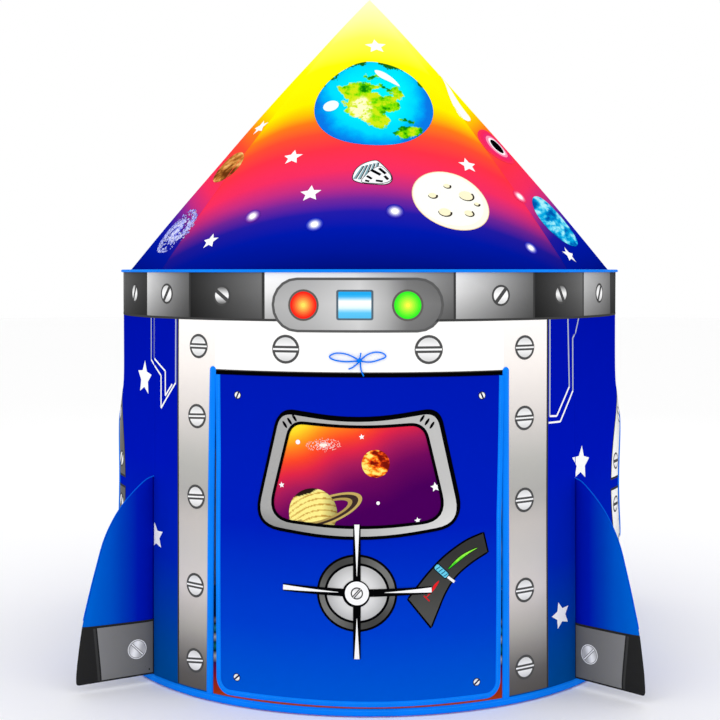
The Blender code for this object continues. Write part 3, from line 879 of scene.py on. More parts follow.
class Stitches:
    """Rows of raised thread dashes, gathered by body."""

    def __init__(self):
        self.points = {}
        self.faces = {}

    def row(self, path, place, lift, body="root", closed=False):
        marks = resample(path, 0.0046, closed)
        points = self.points.setdefault(body, [])
        faces = self.faces.setdefault(body, [])
        for (a, b), (c, d) in zip(marks, marks[1:]):
            ex, ey = a + (c - a) * 0.68, b + (d - b) * 0.68
            corners = bar((a * DEGREE, b), (ex * DEGREE, ey), 0.0007)
            start = len(points)
            for up in (-0.0002, 0.0004):
                points.extend(place(x / DEGREE, y, lift + up) for x, y in corners)
            q = [start + k for k in range(8)]
            faces.extend([(q[4], q[5], q[6], q[7]), (q[0], q[1], q[5], q[4]), (q[1], q[2], q[6], q[5]),
                          (q[2], q[3], q[7], q[6]), (q[3], q[0], q[4], q[7]), (q[3], q[2], q[1], q[0])])

    def build(self):
        """The finished rows by body; the flap's are left without a body."""
        made = {}
        for body, points in self.points.items():
            name = f"stitching_{body}"
            mesh = bpy.data.meshes.new(name)
            mesh.from_pydata(points, [], self.faces[body])
            made[body] = keep(name, mesh, "thread", None if body == "door_flap" else body, "binding")
        return made


STITCHES = Stitches()


def full_circle():
    return [2.0 * i - 180.0 for i in range(180)]


def ring_row(z):
    return [(phi, z) for phi in (*full_circle(), 180.0)]


def make_ring_tapes():
    """Bindings round the base and over the eave seam, each turned from a soft profile."""
    base_low, base_high = (corner[2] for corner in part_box("base_binding"))

    def base_place(phi, z, lift):
        return ring(phi, WALL + lift, z)

    centre = (base_low + base_high) / 2
    path = [(phi, centre) for phi in full_circle()]
    half = (base_high - base_low) / 2
    mesh = tape_mesh("base_tape", path, base_place, half, -0.0016, 0.0048, closed=True)
    keep("base_tape", mesh, "binding", "root", "binding", ["base_binding"])
    STITCHES.row(ring_row(centre + 0.0035), base_place, 0.0045)

    profile = [(0.4995, 0.0012), (0.5050, 0.0020), (0.5140, 0.0026), (0.5180, 0.0030), (0.5195, 0.0020),
               (0.5200, 0.0003), (0.5198, -0.0012), (0.5188, -0.0022), (0.5166, -0.0024), (0.5156, -0.0016),
               (0.5148, -0.0006), (0.5030, -0.0006)]
    points = [ring(phi, radius, EAVE + dz) for phi in full_circle() for radius, dz in profile]
    mesh = point_mesh("eave_tape", points, tube_faces(180, len(profile), True))
    keep("eave_tape", mesh, "binding", "root", "binding", ["eave_binding"])
    STITCHES.row(ring_row(EAVE - 0.0004), base_place, 0.0049)


FLAP_LOW = 0.0225
FLAP_CORNER = 0.024
TAPE_HALF = 0.0050
DOOR_TAPE_HALF = 0.0072


def flap_edge(side, z):
    """The flap's sides draw in a little below its top."""
    if side < 0:
        return FLAP_LEFT + 0.35 * min(1.0, (DOOR_TOP - z) / 0.14)
    return FLAP_RIGHT - FLAP_DRAW * min(1.0, (DOOR_TOP - z) / 0.25)


def flap_outline(inset=0.0):
    """Open outline: down the left side, round the lower corners and up the right side."""
    low = FLAP_LOW + inset
    corner = FLAP_CORNER - inset
    top = DOOR_TOP - 0.0006
    line = [(flap_edge(-1, z) + inset / DEGREE, z) for z in (top, 0.52, 0.44)]
    for side in (-1.0, 1.0):
        edge = flap_edge(side, 0.0) - side * inset / DEGREE
        for i in range(9):
            turn = pi / 2 * (i if side < 0 else 8 - i) / 8
            across = side * corner / DEGREE * (1.0 - cos(turn))
            line.append((edge - across, low + corner * (1.0 - sin(turn))))
    return line + [(flap_edge(1, z) - inset / DEGREE, z) for z in (0.34, 0.44, 0.52, top)]


def make_flap():
    """Door flap cloth, with its edge tape and a row of stitches."""
    outline = flap_outline()
    cloth = cloth_panel("flap_cloth", outline, [], flap_point, "flap", ["door_flap"], body=None,
                        slot="flap_print", step=0.005)
    mesh = tape_mesh("flap_tape", resample(outline, 0.004), flap_point, TAPE_HALF, -0.0014, 0.0014)
    tape = keep("flap_tape", mesh, "binding", None, "binding", ["flap_binding"])
    STITCHES.row(resample(flap_outline(0.0022), 0.01), flap_point, 0.0013, "door_flap")
    return [cloth, tape]


def make_door_tapes():
    """Bindings on the opening's sides, their round upper ends standing over the door's top edge."""
    for tag, side in (("left", -1.0), ("right", 1.0)):
        outward = side * 0.5
        top = DOOR_TOP + 0.014
        heights = [0.014 + (top - 0.022) * i / 56 for i in range(57)]
        heights += [top - 0.008 + 0.001 * i for i in range(1, 9)]
        path = [(door_edge(side, min(z, DOOR_TOP)) + outward, z) for z in heights]
        mesh = tape_mesh(f"door_tape_{tag}", path, wall_point, DOOR_TAPE_HALF, -0.0018, 0.0020,
                         rounded_end=True)
        keep(f"door_tape_{tag}", mesh, "binding", "root", "binding", [f"door_binding_{tag}"])
        STITCHES.row([(phi + outward * 0.45, z) for phi, z in path[:-5]], wall_point, 0.0017)


def window_net(centre):
    """Points and faces of crossed flat threads over one round window."""
    reach = WINDOW_R + 0.006
    threads = 46
    half = 0.0005
    thick = 0.0006
    points, faces = [], []
    for k in range(threads + 1):
        offset = -reach + 2 * reach * k / threads
        extent = sqrt(max(0.0, reach ** 2 - offset ** 2))
        if extent < 0.01:
            continue
        steps = max(2, int(extent / 0.012))
        for sx, sy, deep in ((0.0, half, -0.0036), (half, 0.0, -0.0030)):
            start = len(points)
            for i in range(steps + 1):
                along = -extent + 2 * extent * i / steps
                x, y = (offset, along) if sx else (along, offset)
                for side, up in ((-1.0, 0.0), (1.0, 0.0), (1.0, -thick), (-1.0, -thick)):
                    phi = centre + degrees((x + side * sx) / WALL)
                    points.append(wall_point(phi, WINDOW_Z + y + side * sy, deep + up))
            faces += [tuple(start + v for v in face) for face in tube_faces(steps + 1, 4, False)]
            faces.append((start + 3, start + 2, start + 1, start))
            last = start + 4 * steps
            faces.append((last, last + 1, last + 2, last + 3))
    return points, faces


def make_windows():
    """Bound round windows with a knotless net behind them."""
    for tag, centre in (("left", -90.0), ("right", 90.0)):
        edge = about(centre, WINDOW_Z, oval(WINDOW_R - 0.0005, count=96))
        mesh = tape_mesh(f"window_tape_{tag}", edge, wall_point, 0.0045, -0.0022, 0.0022, closed=True)
        keep(f"window_tape_{tag}", mesh, "binding", "root", "binding", [f"window_binding_{tag}"])
        stitched = about(centre, WINDOW_Z, oval(WINDOW_R + 0.0025, count=96))
        STITCHES.row(stitched, wall_point, 0.0018, closed=True)
        mesh = point_mesh(f"window_net_{tag}", *window_net(centre), smooth=False)
        keep(f"window_net_{tag}", mesh, "net", "root", "mesh", [f"window_mesh_{tag}"])


def make_seams():
    """Raised seams where the panels meet over the poles."""
    for index, phi in enumerate(SEAMS):
        path = [(phi, 0.015 + (BAND_LOW - 0.018) * i / 60) for i in range(61)]
        mesh = tape_mesh(f"wall_seam_{index}", path, wall_point, 0.0014, -0.0004, 0.0005)
        keep(f"wall_seam_{index}", mesh, "wall", "root", "wall_print")
        path = [(phi, SLOPE * 0.985 * i / 60) for i in range(61)]

        def place(a, s, lift, phi=phi):
            return roof_point(phi + (a - phi) * WALL / max(0.03, roof_radius(s)), s, lift)

        mesh = tape_mesh(f"roof_seam_{index}", path, place, 0.0011, -0.0004, 0.0005)
        keep(f"roof_seam_{index}", mesh, "roof", "root", "roof_print")


# ---- printed screws, stars and lamps ----
LINE = (58, 58, 58)
BLACK = (4, 4, 6)
WHITE = (255, 255, 255)


def screw(art, phi, v, size, slot_turn, level=2, rim=(80, 80, 80), line=0.20, slot=0.46, split=0.13,
          dim=196):
    """A slotted screw head: rim, a face that is dimmer towards its edge, and a slot at an angle."""

    def face(a, b):
        grey = 252 - (252 - dim) * min(1.0, abs(b - v) / size) ** 1.4
        return (grey, grey, grey)

    art.add(about(phi, v, oval(size)), rim, level)
    art.add(about(phi, v, oval(size * (1.0 - line))), face, level + 1, steps=(0.016, size / 4))
    for reach, wide, tint, over in ((size * 0.97, slot, rim, 2), (size * 0.93, split, (246, 246, 246), 3)):
        if wide:
            mark = bar((-reach, 0.0), (reach, 0.0), size * wide)
            art.add(about(phi, v, mark, slot_turn), tint, level + over)


POST_SHADES = (
    (0.015, (94, 90, 86)), (0.05, (100, 97, 96)), (0.13, (176, 172, 166)), (0.20, (214, 207, 204)),
    (0.27, (202, 198, 194)), (0.33, (198, 192, 187)), (0.37, (176, 174, 170)), (0.43, (184, 183, 178)),
    (0.52, (222, 216, 212)), (0.61, (250, 243, 238)), (0.69, (255, 252, 250)),
)
POST_OUTER = 41.4
BAND_LOW = 0.6905


def post_ink(phi, z):
    return blend_stops(POST_SHADES, z)


def make_door_frame_print():
    """White header and brushed posts round the door, with their screws."""
    art = Artwork("door_frame_print", wall_point, "root", slot="wall_print")
    for side, outer in ((-1.0, -POST_OUTER), (1.0, POST_OUTER)):
        foot, head = door_edge(side, 0.016), door_edge(side, DOOR_TOP)
        art.add([(foot, 0.016), (outer, 0.016), (outer, BAND_LOW), (head, BAND_LOW), (head, DOOR_TOP)],
                post_ink, 1)
        art.add(patch(*sorted((outer, outer - side * 0.42)), 0.016, BAND_LOW), LINE, 3)
    for low, high, tint, level in ((0.0088, BAND_LOW - DOOR_TOP, (255, 254, 252), 1),
                                   (0.0070, 0.0090, (64, 60, 58), 2), (0.0003, 0.0072, BLACK, 2)):
        art.add(patch(DOOR_LEFT, DOOR_RIGHT, DOOR_TOP + low, DOOR_TOP + high), tint, level)
    for phi in (-14.65, 13.61):
        screw(art, phi, 0.6395, 0.0255, 0.0, line=0.18)
    for phi, z, turn in ((-35.1, 0.6404, 0.0), (-35.5, 0.5127, 3.0), (-35.8, 0.3656, 4.0),
                         (-36.1, 0.2038, 0.0), (-36.2, 0.0664, 8.0)):
        screw(art, phi, z, 0.0222, turn, level=4)
    for z in (0.6390, 0.5117, 0.3638, 0.2013, 0.0624):
        screw(art, 35.0, z, 0.0222, 0.0, level=4)
    art.build()


def shade(low, high, start, end):
    """Brushed grey that runs from low to high across one panel, darker towards its foot."""

    def ink(phi, z):
        share = min(1.0, max(0.0, (phi - start) / (end - start)))
        up = min(1.0, max(0.0, (z - BAND_LOW) / (EAVE - BAND_LOW)))
        grey = (low + (high - low) * share) * (0.72 + 0.28 * min(1.0, up * 1.5))
        return (grey, grey, grey)

    return ink


def make_band_print():
    """Riveted metal band under the eave, with three lamps over the door."""
    art = Artwork("band_print", wall_point, "root", slot="wall_print", steps=(0.012, 0.02))
    top = EAVE - 0.001
    plate_start = -19.3
    panels = [
        (-86.0, -69.7, 120, 104), (-69.7, -53.7, 96, 62), (-53.7, -37.7, 222, 100),
        (-37.7, -19.5, 44, 118), (plate_start, -1.0, 246, 226), (-1.0, 18.9, 226, 120),
        (18.9, 37.4, 232, 104), (37.4, 53.5, 44, 112), (53.5, 69.9, 192, 122), (69.9, 86.0, 70, 50),
    ]
    wide = (360.0 - 86.0 - 86.0) / 12
    for k in range(12):
        light = k % 2 == 0
        panels.append((86.0 + k * wide, 86.0 + (k + 1) * wide, *((236, 130) if light else (54, 104))))
    for start, end, low, high in panels:
        art.add(patch(start, end, BAND_LOW, top), shade(low, high, start, end), 1)
        if start != plate_start:
            art.add(patch(end - 0.22, end + 0.26, BAND_LOW, top), (60, 60, 60), 2)
    art.add(patch(plate_start - 0.3, plate_start + 0.2, BAND_LOW, top), (60, 60, 60), 2)
    for k in range(36):
        phi = -180.0 + 10.0 * k
        art.add(patch(phi, phi + 10.0, BAND_LOW - 0.0022, BAND_LOW + 0.0020), (64, 64, 64), 3)
    screws = [(-60.75, 0.734, 60.0, 150), (-45.2, 0.7348, 55.0, 190), (-29.0, 0.7331, -35.0, 40),
              (29.1, 0.7334, 50.0, 196), (45.4, 0.7345, -62.0, 40), (61.5, 0.7345, 62.0, 190)]
    screws += [(86.0 + (k + 0.5) * wide, 0.734, 35.0 + 40.0 * k, 60 if k % 2 else 190) for k in range(12)]
    for phi, z, turn, dim in screws:
        screw(art, phi, z, 0.0190, turn, level=3, rim=(74, 74, 74), slot=0.36, split=0.0, dim=dim)

    centre = -0.45
    art.add(about(centre, 0.7175, box_shape(0.3080, 0.0960, 0.0475)), (92, 92, 92), 3)
    tones = ((-17.5, (170,)), (-9.0, (184,)), (0.0, (212,)), (5.0, (178,)), (9.5, (124,)), (17.0, (106,)))

    def plate(phi, z):
        grey = blend_stops(tones, phi)[0] + 16.0 * (0.5 - abs(z - 0.7175) / 0.045)
        return (grey, grey, grey)

    art.add(about(centre, 0.7175, box_shape(0.2980, 0.0870, 0.0430)), plate, 4)
    for phi, rim, middle in ((-11.0, (252, 34, 26), (255, 226, 96)), (9.45, (52, 240, 40), (246, 255, 70))):
        spot = (phi, 0.7172)
        art.add(about(*spot, oval(0.0278)), (98, 94, 90), 5)
        for ring_no in range(8):
            share = ring_no / 7
            colour = tuple(a + (b - a) * share for a, b in zip(rim, middle))
            art.add(about(*spot, oval(0.0240 * (1.0 - 0.118 * ring_no))), colour, 6 + ring_no * 0.5)

    def screen(phi, z):
        up = (z - 0.6942) / 0.047
        return blend_stops(((0.0, (84, 190, 240)), (0.22, (96, 200, 245)), (0.40, (236, 250, 255)),
                            (0.64, (255, 255, 255)), (0.84, (30, 170, 240)), (1.0, (40, 170, 236))), up)

    art.add(about(-0.85, 0.7177, box_shape(0.0650, 0.0530, 0.004)), (88, 104, 116), 5)
    art.add(about(-0.85, 0.7177, box_shape(0.0575, 0.0465, 0.002)), screen, 6, steps=(0.02, 0.004))
    art.build()


def half_band(outer_start, outer, inner_start, inner, sign):
    """Half a flat ring, above the origin or below it by its sign."""
    far = [(a * outer, b * outer * sign) for a, b in arc(outer_start, pi - outer_start)]
    near = [(a * inner, b * inner * sign) for a, b in arc(inner_start, pi - inner_start)]
    return far + near[::-1]


def make_wall_prints():
    """Stars, circuit lines and porthole rings on the blue wall."""
    art = Artwork("wall_art_print", wall_point, "root", slot="wall_print")
    white = (252, 252, 252)
    for phi, z, size, turn in (
            (-54.9, 0.5718, 0.034, -4.0), (-49.3, 0.2767, 0.026, 8.0), (52.3, 0.4156, 0.033, -6.0),
            (45.4, 0.1411, 0.0255, 16.0), (-118.0, 0.60, 0.028, 10.0), (118.0, 0.58, 0.030, -12.0),
            (-122.0, 0.14, 0.024, 20.0), (124.0, 0.12, 0.026, 4.0), (150.0, 0.55, 0.032, 8.0),
            (-152.0, 0.46, 0.028, -14.0), (178.0, 0.60, 0.024, 18.0), (168.0, 0.22, 0.030, -8.0),
            (-164.0, 0.16, 0.032, 12.0), (160.0, 0.38, 0.022, 30.0), (-172.0, 0.34, 0.024, -20.0)):
        art.add(about(phi, z, star(size, 0.50), turn), white, 1)
    lines = (
        ((-51.4, BAND_LOW), (-51.4, 0.609), (-47.3, 0.581), (-47.3, 0.520), (-42.0, 0.570),
         (-42.0, BAND_LOW)),
        ((-50.0, BAND_LOW), (-50.0, 0.612), (-45.7, 0.590), (-45.7, 0.544), (-43.2, 0.567)),
        ((41.9, BAND_LOW), (41.9, 0.511), (44.0, 0.510), (48.0, 0.562), (47.6, BAND_LOW)),
        ((41.6, 0.499), (45.1, 0.499), (49.2, 0.554), (49.2, 0.652), (50.2, 0.661), (51.6, BAND_LOW)),
    )
    for line in lines:
        for one, two in zip(line, line[1:]):
            low = max(one[1], two[1])
            tint = (176, 184, 206) if low > 0.62 else white
            art.add(wall_degrees(bar(*wall_metres((one, two)), 0.0034)), tint, 1)
    rim_out, rim_in = 0.190, 0.139
    for centre in (-90.0, 90.0):

        def metal(phi, z, centre=centre):
            grey = (128 if centre < 0 else 222) + 26 * sin((phi - centre) / 21.0 * 5.0)
            return (grey, grey, grey * 0.99)

        for sign in (1.0, -1.0):
            for inset, tint, level in ((0.0, (56, 58, 64), 1), (0.0035, metal, 2)):
                start = 0.045 + inset * 7.0
                band = half_band(start, rim_out - inset, start * 1.3, rim_in + inset, sign)
                art.add(about(centre, WINDOW_Z, band), tint, level)
            for k in range(5):
                turn = radians(15.3 + 37.35 * k) * sign
                spot = (centre + degrees(0.163 * cos(turn) / WALL), WINDOW_Z + 0.163 * sin(turn))
                screw(art, *spot, 0.0165, 60.0 + 30.0 * k, level=3, slot=0.36, split=0.0)
    art.build()


# ---- flap print ----
def flap_art(name, steps):
    return Artwork(name, flap_point, None, steps=steps, slot="flap_print")


FRAME_CORNERS = (
    (-16.1, 0.5345, 0.030), (-0.2, 0.5150, 0.105), (15.6, 0.5360, 0.030), (20.8, 0.3290, 0.052),
    (-0.4, 0.3030, 0.120), (-21.5, 0.3270, 0.052),
)
PANE_CORNERS = (
    (-13.2, 0.5100, 0.022), (-0.2, 0.5010, 0.090), (12.4, 0.5080, 0.024), (16.8, 0.3440, 0.042),
    (-0.2, 0.3300, 0.100), (-17.8, 0.3440, 0.042),
)


def nebula(phi, z):
    """Sky in the printed window: yellow at its top left to deep purple at its lower right."""
    share = (phi + 16.0) / 78.0 + (0.51 - z) / 0.31
    share += 0.012 * sin(phi * 0.5 + z * 22.0)
    return blend_stops((
        (0.0, (255, 245, 60)), (0.08, (255, 215, 40)), (0.16, (255, 140, 30)), (0.25, (248, 70, 40)),
        (0.33, (222, 38, 70)), (0.42, (165, 28, 88)), (0.54, (108, 10, 90)), (0.72, (72, 0, 88))), share)


def make_flap_window_print():
    """A framed view of space: the frame lies over the view, so it trims whatever reaches past the pane."""
    art = flap_art("flap_window_print", (0.005, 0.005))
    outer = rounded(wall_metres(FRAME_CORNERS))
    pane = rounded(wall_metres(PANE_CORNERS))
    art.add(wall_degrees(grown(pane, 0.002)), nebula, 1, steps=(0.006, 0.006))
    rng = random.Random(11)
    for k in range(230):
        turn, reach = rng.random() * 2 * pi, rng.choice((0.42, 0.72, 1.0)) + rng.gauss(0.0, 0.07)
        spot = about(-6.95, 0.4732, [(0.0285 * reach * cos(turn), 0.0108 * reach * sin(turn))], 3.0)[0]
        light = max(0.0, 1.0 - reach * 0.7)
        art.add(about(*spot, oval(0.0008, count=5)), (255, 170 + 80 * light, 160 + 90 * light), 3)
    art.add(about(-6.95, 0.4732, oval(0.0075, 0.0030), 3.0), (255, 240, 226), 3)

    def ember(phi, z):
        x, y = (phi - 3.2) * DEGREE, z - 0.4415
        tone = 1.1 * cloudy(x + y * 0.5, y * 1.8, 42.0, 4.4) + 0.15 + (x - y) / 0.050
        return blend_stops(((-0.9, (255, 236, 120)), (-0.35, (255, 160, 30)), (0.2, (240, 70, 16)),
                            (0.9, (120, 20, 10))), tone)

    art.add(about(3.2, 0.4415, oval(0.0243, count=36)), ember, 3, steps=(0.0016, 0.0016))
    planet = (-9.0, 0.3545)
    rings = (planet[0] + 2.3, planet[1] + 0.0035)

    def banded(phi, z):
        x, y = (phi - planet[0]) * DEGREE, z - planet[1]
        line = sin((y - x * 0.30 + 0.9 * x * x * 8.0) * 620.0)
        if y - x * 0.5 - 6.0 * x * x > 0.037:
            return (40, 26, 20)
        tone = (252, 238, 140) if line < 0.72 else (206, 160, 70)
        side = max(0.0, (x - 0.016) / 0.03)
        return tuple(c * (1.0 - 0.42 * side) for c in tone)

    def half_rings(start, end, first, gap):
        """Three nested bands of the planet's ring, over half of its turn."""
        for index, (wide, high, tint) in enumerate((
                (0.070, 0.0235, (196, 170, 96)), (0.063, 0.0200, (60, 44, 40)),
                (0.052, 0.0160, (176, 150, 84)))):
            far = [(wide * a, high * b) for a, b in arc(start, end)]
            near = [(0.044 * a, 0.0125 * b) for a, b in arc(start, end)]
            art.add(about(*rings, far + near[::-1], 22.0), tint, first + gap * index)

    half_rings(-0.10, pi + 0.10, 2, 0.3)
    disc = [(x, max(y, -0.030)) for x, y in oval(0.0430, count=40)]
    art.add(about(*planet, disc), banded, 4, steps=(0.003, 0.0018))
    half_rings(pi - 0.10, 2 * pi + 0.10, 5, 0.4)
    for phi, z, size in ((0.5, 0.4883, 0.0052), (-15.3, 0.4012, 0.0054), (14.8, 0.3992, 0.0088),
                         (11.3, 0.3418, 0.0060)):
        art.add(about(phi, z, star(size), 8.0), WHITE, 6)
    for phi, z, size in ((3.65, 0.3733, 0.0032), (-12.0, 0.4775, 0.0042)):
        art.add(about(phi, z, oval(size, count=12)), (255, 246, 255), 6)

    def rim(phi, z):
        grey = 180 + 14 * (phi / 20.0) + 34 * max(0.0, phi / 20.0) * max(0.0, (0.40 - z) / 0.08)
        grey -= 40 * max(0.0, -phi / 20.0) * max(0.0, (0.36 - z) / 0.04)
        return (grey, grey * 0.998, grey * 0.99)

    lifted = [(x + 0.0020, z + 0.0030) for x, z in outer]
    art.add(wall_degrees(lifted), BLACK, 0.5)
    art.add(wall_degrees(outer), BLACK, 8, holes=[wall_degrees(pane)])
    art.add(wall_degrees(grown(outer, -0.0058)), rim, 9, holes=[wall_degrees(grown(pane, 0.0054))])
    for centre, lean in ((-13.7, -1.0), (13.2, 1.0)):
        for k in (-1.0, 0.0, 1.0):
            mark = turned(oval(0.0024, 0.0072, 14), -34.0 * lean)
            art.add(about(centre + k * 0.98, 0.5135 - k * lean * 0.0060, mark), BLACK, 10)
    return art.build()


def make_flap_wheel_print():
    """Round hatch wheel with four tapered spokes."""
    art = flap_art("flap_wheel_print", (0.006, 0.006))
    centre = (-0.42, 0.2165)

    def dark_steel(phi, z):
        turn = atan2(z - centre[1], radians(phi - centre[0]) * WALL)
        grey = 92 + 26 * sin(turn * 2.0 + 0.6)
        return (grey, grey, grey * 0.98)

    def steel(phi, z):
        reach = hypot(z - centre[1], radians(phi - centre[0]) * WALL)
        grey = 255 - 80 * min(1.0, reach / 0.0525) ** 1.3
        return (grey, grey, grey)

    for wide, high, tint, level in ((0.0700, 0.0674, (6, 6, 8), 1), (0.0660, 0.0634, dark_steel, 2),
                                    (0.0566, 0.0524, (6, 6, 8), 3), (0.0522, 0.0482, steel, 4)):
        art.add(about(*centre, oval(wide, high, 48)), tint, level, steps=(0.007, 0.007))
    for turn, reach, start in ((90.0, 0.1195, 0.030), (1.5, 0.1300, 0.048), (270.0, 0.1145, 0.044),
                               (177.5, 0.1310, 0.032)):
        art.add(about(*centre, bar((0.012, 0.0), (reach, 0.0), 0.0134, 0.0126), turn), (6, 6, 8), 11)
        art.add(about(*centre, bar((start, 0.0), (reach, 0.0), 0.0006, 0.0088), turn), (250, 250, 250), 12)
    art.add(about(centre[0] - 0.12, centre[1] - 0.0008, oval(0.0240, count=40)), (6, 6, 8), 13)
    art.add(about(*centre, oval(0.0206, count=40)), (250, 250, 250), 14)
    screw(art, *centre, 0.0106, 48.0, level=15, rim=(60, 60, 60), split=0.10)
    return art.build()


def make_flap_lever_print():
    """Curved dark gauge plate with a leaf needle and a pointer."""
    art = flap_art("flap_lever_print", (0.006, 0.006))
    upper = smooth_line(((9.4, 0.205), (11.4, 0.228), (13.9, 0.254), (16.9, 0.279), (21.0, 0.302),
                         (24.9, 0.314)))
    lower = smooth_line(((25.9, 0.279), (22.2, 0.262), (19.0, 0.240), (16.9, 0.213), (15.4, 0.183),
                         (14.0, 0.153)))
    plate = wall_metres(upper + lower)

    def slate(phi, z):
        grey = 80 - 26 * min(1.0, max(0.0, (z - 0.18) / 0.10))
        return (grey, grey, grey * 0.97)

    art.add(wall_degrees(grown(plate, 0.0018)), BLACK, 1)
    art.add(wall_degrees(grown(plate, -0.0014)), slate, 2)
    leaf = smooth_line(((17.4, 0.254), (19.0, 0.2690), (20.9, 0.2800), (23.6, 0.2882), (21.8, 0.2800),
                        (19.8, 0.2682)), 4, closed=True)
    art.add(wall_degrees(grown(wall_metres(leaf), 0.0012)), (12, 44, 12), 3)
    art.add(leaf, lambda a, b: (150, 246, 70) if b > 0.2620 + (a - 18.0) * 0.0046 else (60, 206, 40), 4)
    needle = smooth_line(((12.9, 0.2060), (13.9, 0.2180), (14.6, 0.2285), (15.6, 0.2350), (15.0, 0.2245),
                          (14.1, 0.2150)), 4, closed=True)
    art.add(needle, (226, 34, 40), 4)
    art.add(about(13.1, 0.2060, bar((-0.005, 0.004), (0.005, -0.006), 0.0024)), (206, 30, 36), 4)
    art.add(wall_degrees(bar(*wall_metres(((17.1, 0.2425), (18.7, 0.2310))), 0.0046)), (246, 246, 246), 4)
    clip = (16.05, 0.2515)
    lean = -43.0
    art.add(about(*clip, box_shape(0.0315, 0.0128, 0.004), lean), (10, 34, 50), 5)
    art.add(about(*clip, box_shape(0.0285, 0.0098, 0.003), lean), (104, 206, 236), 6)
    for k in range(4):
        spot = about(*clip, [(-0.0095 + 0.0063 * k, 0.0)], lean)[0]
        art.add(about(*spot, bar((0.0, -0.0040), (0.0022, 0.0040), 0.0014), lean), (16, 70, 96), 7)
    for phi, z, turn in ((-25.1, 0.5557, 65.0), (24.7, 0.5565, -65.0), (-25.3, 0.0520, 40.0),
                         (23.6, 0.0497, 40.0)):
        screw(art, phi, z, 0.0072, turn, level=1, rim=(30, 34, 70), slot=0.42, split=0.0, dim=215)
    return art.build()


# ---- roof print ----
def roof_colour(phi, s):
    """The roof's own colour at a place, for soft-edged marks."""
    turn = abs((phi + 180.0) % 360.0 - 180.0)
    off = turn if turn < 50.0 else (180.0 - turn if turn > 130.0 else abs(turn - 90.0))
    share = (SLOPE - s) / SLOPE * cos(radians(off) * CONE_SINE)
    return blend_stops(ROOF_COLOURS, share)


def glow(art, phi, s, size):
    """A soft dot that fades into the roof."""
    for k in range(5):
        share = (k / 4) ** 1.2
        colour = tuple(a + (b - a) * share for a, b in zip(roof_colour(phi, s), WHITE))
        art.add(on_roof(phi, s, oval(size * (1.0 - 0.15 * k), count=16)), colour, 1 + 0.5 * k)


def within(point, outline):
    """Whether a flat point lies inside an outline."""
    x, y = point
    crossings = 0
    for (ax, ay), (bx, by) in zip(outline, outline[1:] + outline[:1]):
        if (ay > y) != (by > y) and x < ax + (y - ay) * (bx - ax) / (by - ay):
            crossings += 1
    return crossings % 2 == 1


LANDS = [smooth_line(shape, 4, closed=True) for shape in (
    ((-0.078, 0.050), (-0.052, 0.052), (-0.026, 0.064), (0.002, 0.052), (0.014, 0.058), (0.034, 0.044),
     (0.052, 0.046), (0.062, 0.020), (0.042, 0.010), (0.052, -0.014), (0.034, -0.028), (0.020, -0.040),
     (0.028, -0.060), (0.010, -0.078), (-0.010, -0.066), (-0.030, -0.052), (-0.052, -0.030),
     (-0.062, -0.004), (-0.052, 0.012), (-0.070, 0.030)),
    ((0.036, -0.086), (0.062, -0.070), (0.088, -0.066), (0.096, -0.076), (0.070, -0.096), (0.046, -0.104)),
    ((-0.020, 0.078), (0.000, 0.086), (0.012, 0.078), (-0.004, 0.070)),
    ((0.050, -0.046), (0.078, -0.050), (0.068, -0.056)),
)]


def make_globe(art):
    """A made-up world, drawn round on the flat cloth."""
    centre = (4.2, 0.4320)

    def surface(phi, s):
        x, y = radians(phi - centre[0]) * roof_radius(s), s - centre[1]
        edge = hypot(x / 0.1165, y / 0.1235)
        ragged = (x + 0.0045 * cloudy(x, y, 42.0, 1.3), y + 0.0045 * cloudy(x, y, 42.0, 6.7))
        lake = hypot((ragged[0] - 0.016) / 0.022, (ragged[1] - 0.030) / 0.011) < 1.0
        if y > 0.045 and abs(x) > 0.012 and edge > 0.955 - 0.06 * cloudy(x, y, 55.0, 3.4):
            return (20, 104, 24)
        if not lake and any(within(ragged, outline) for outline in LANDS):
            tone = 0.5 + 0.6 * cloudy(x, y, 30.0, 2.6) - 4.0 * x
            green = blend_stops(((-0.2, (10, 130, 10)), (0.3, (110, 220, 0)), (0.9, (206, 230, 20))), tone)
            pale = max(0.0, 1.0 - hypot((x + 0.026) / 0.026, (y + 0.022) / 0.042))
            pale = min(1.0, 2.4 * pale * (0.8 + cloudy(x, y, 70.0, 7.2)))
            return tuple(a + (b - a) * max(0.0, pale) for a, b in zip(green, (255, 250, 200)))
        depth = edge - 0.30 * max(0.0, y) / 0.12 + 0.05 * cloudy(x, y, 12.0, 9.1)
        return blend_stops(((0.35, (0, 240, 252)), (0.70, (0, 214, 250)), (0.88, (0, 160, 242)),
                            (1.0, (10, 118, 226))), depth)

    art.add(on_roof(*centre, oval(0.1165, 0.1235, 72)), surface, 1, steps=(0.0019, 0.0019))
    cloud = smooth_line(((0.004, 0.096), (0.020, 0.094), (0.040, 0.076), (0.052, 0.054), (0.034, 0.064),
                         (0.012, 0.078)), 4, closed=True)
    art.add(on_roof(*centre, cloud), (246, 254, 255), 5)
    art.add(on_roof(-17.3, 0.4242, oval(0.0155)), (240, 254, 255), 6)


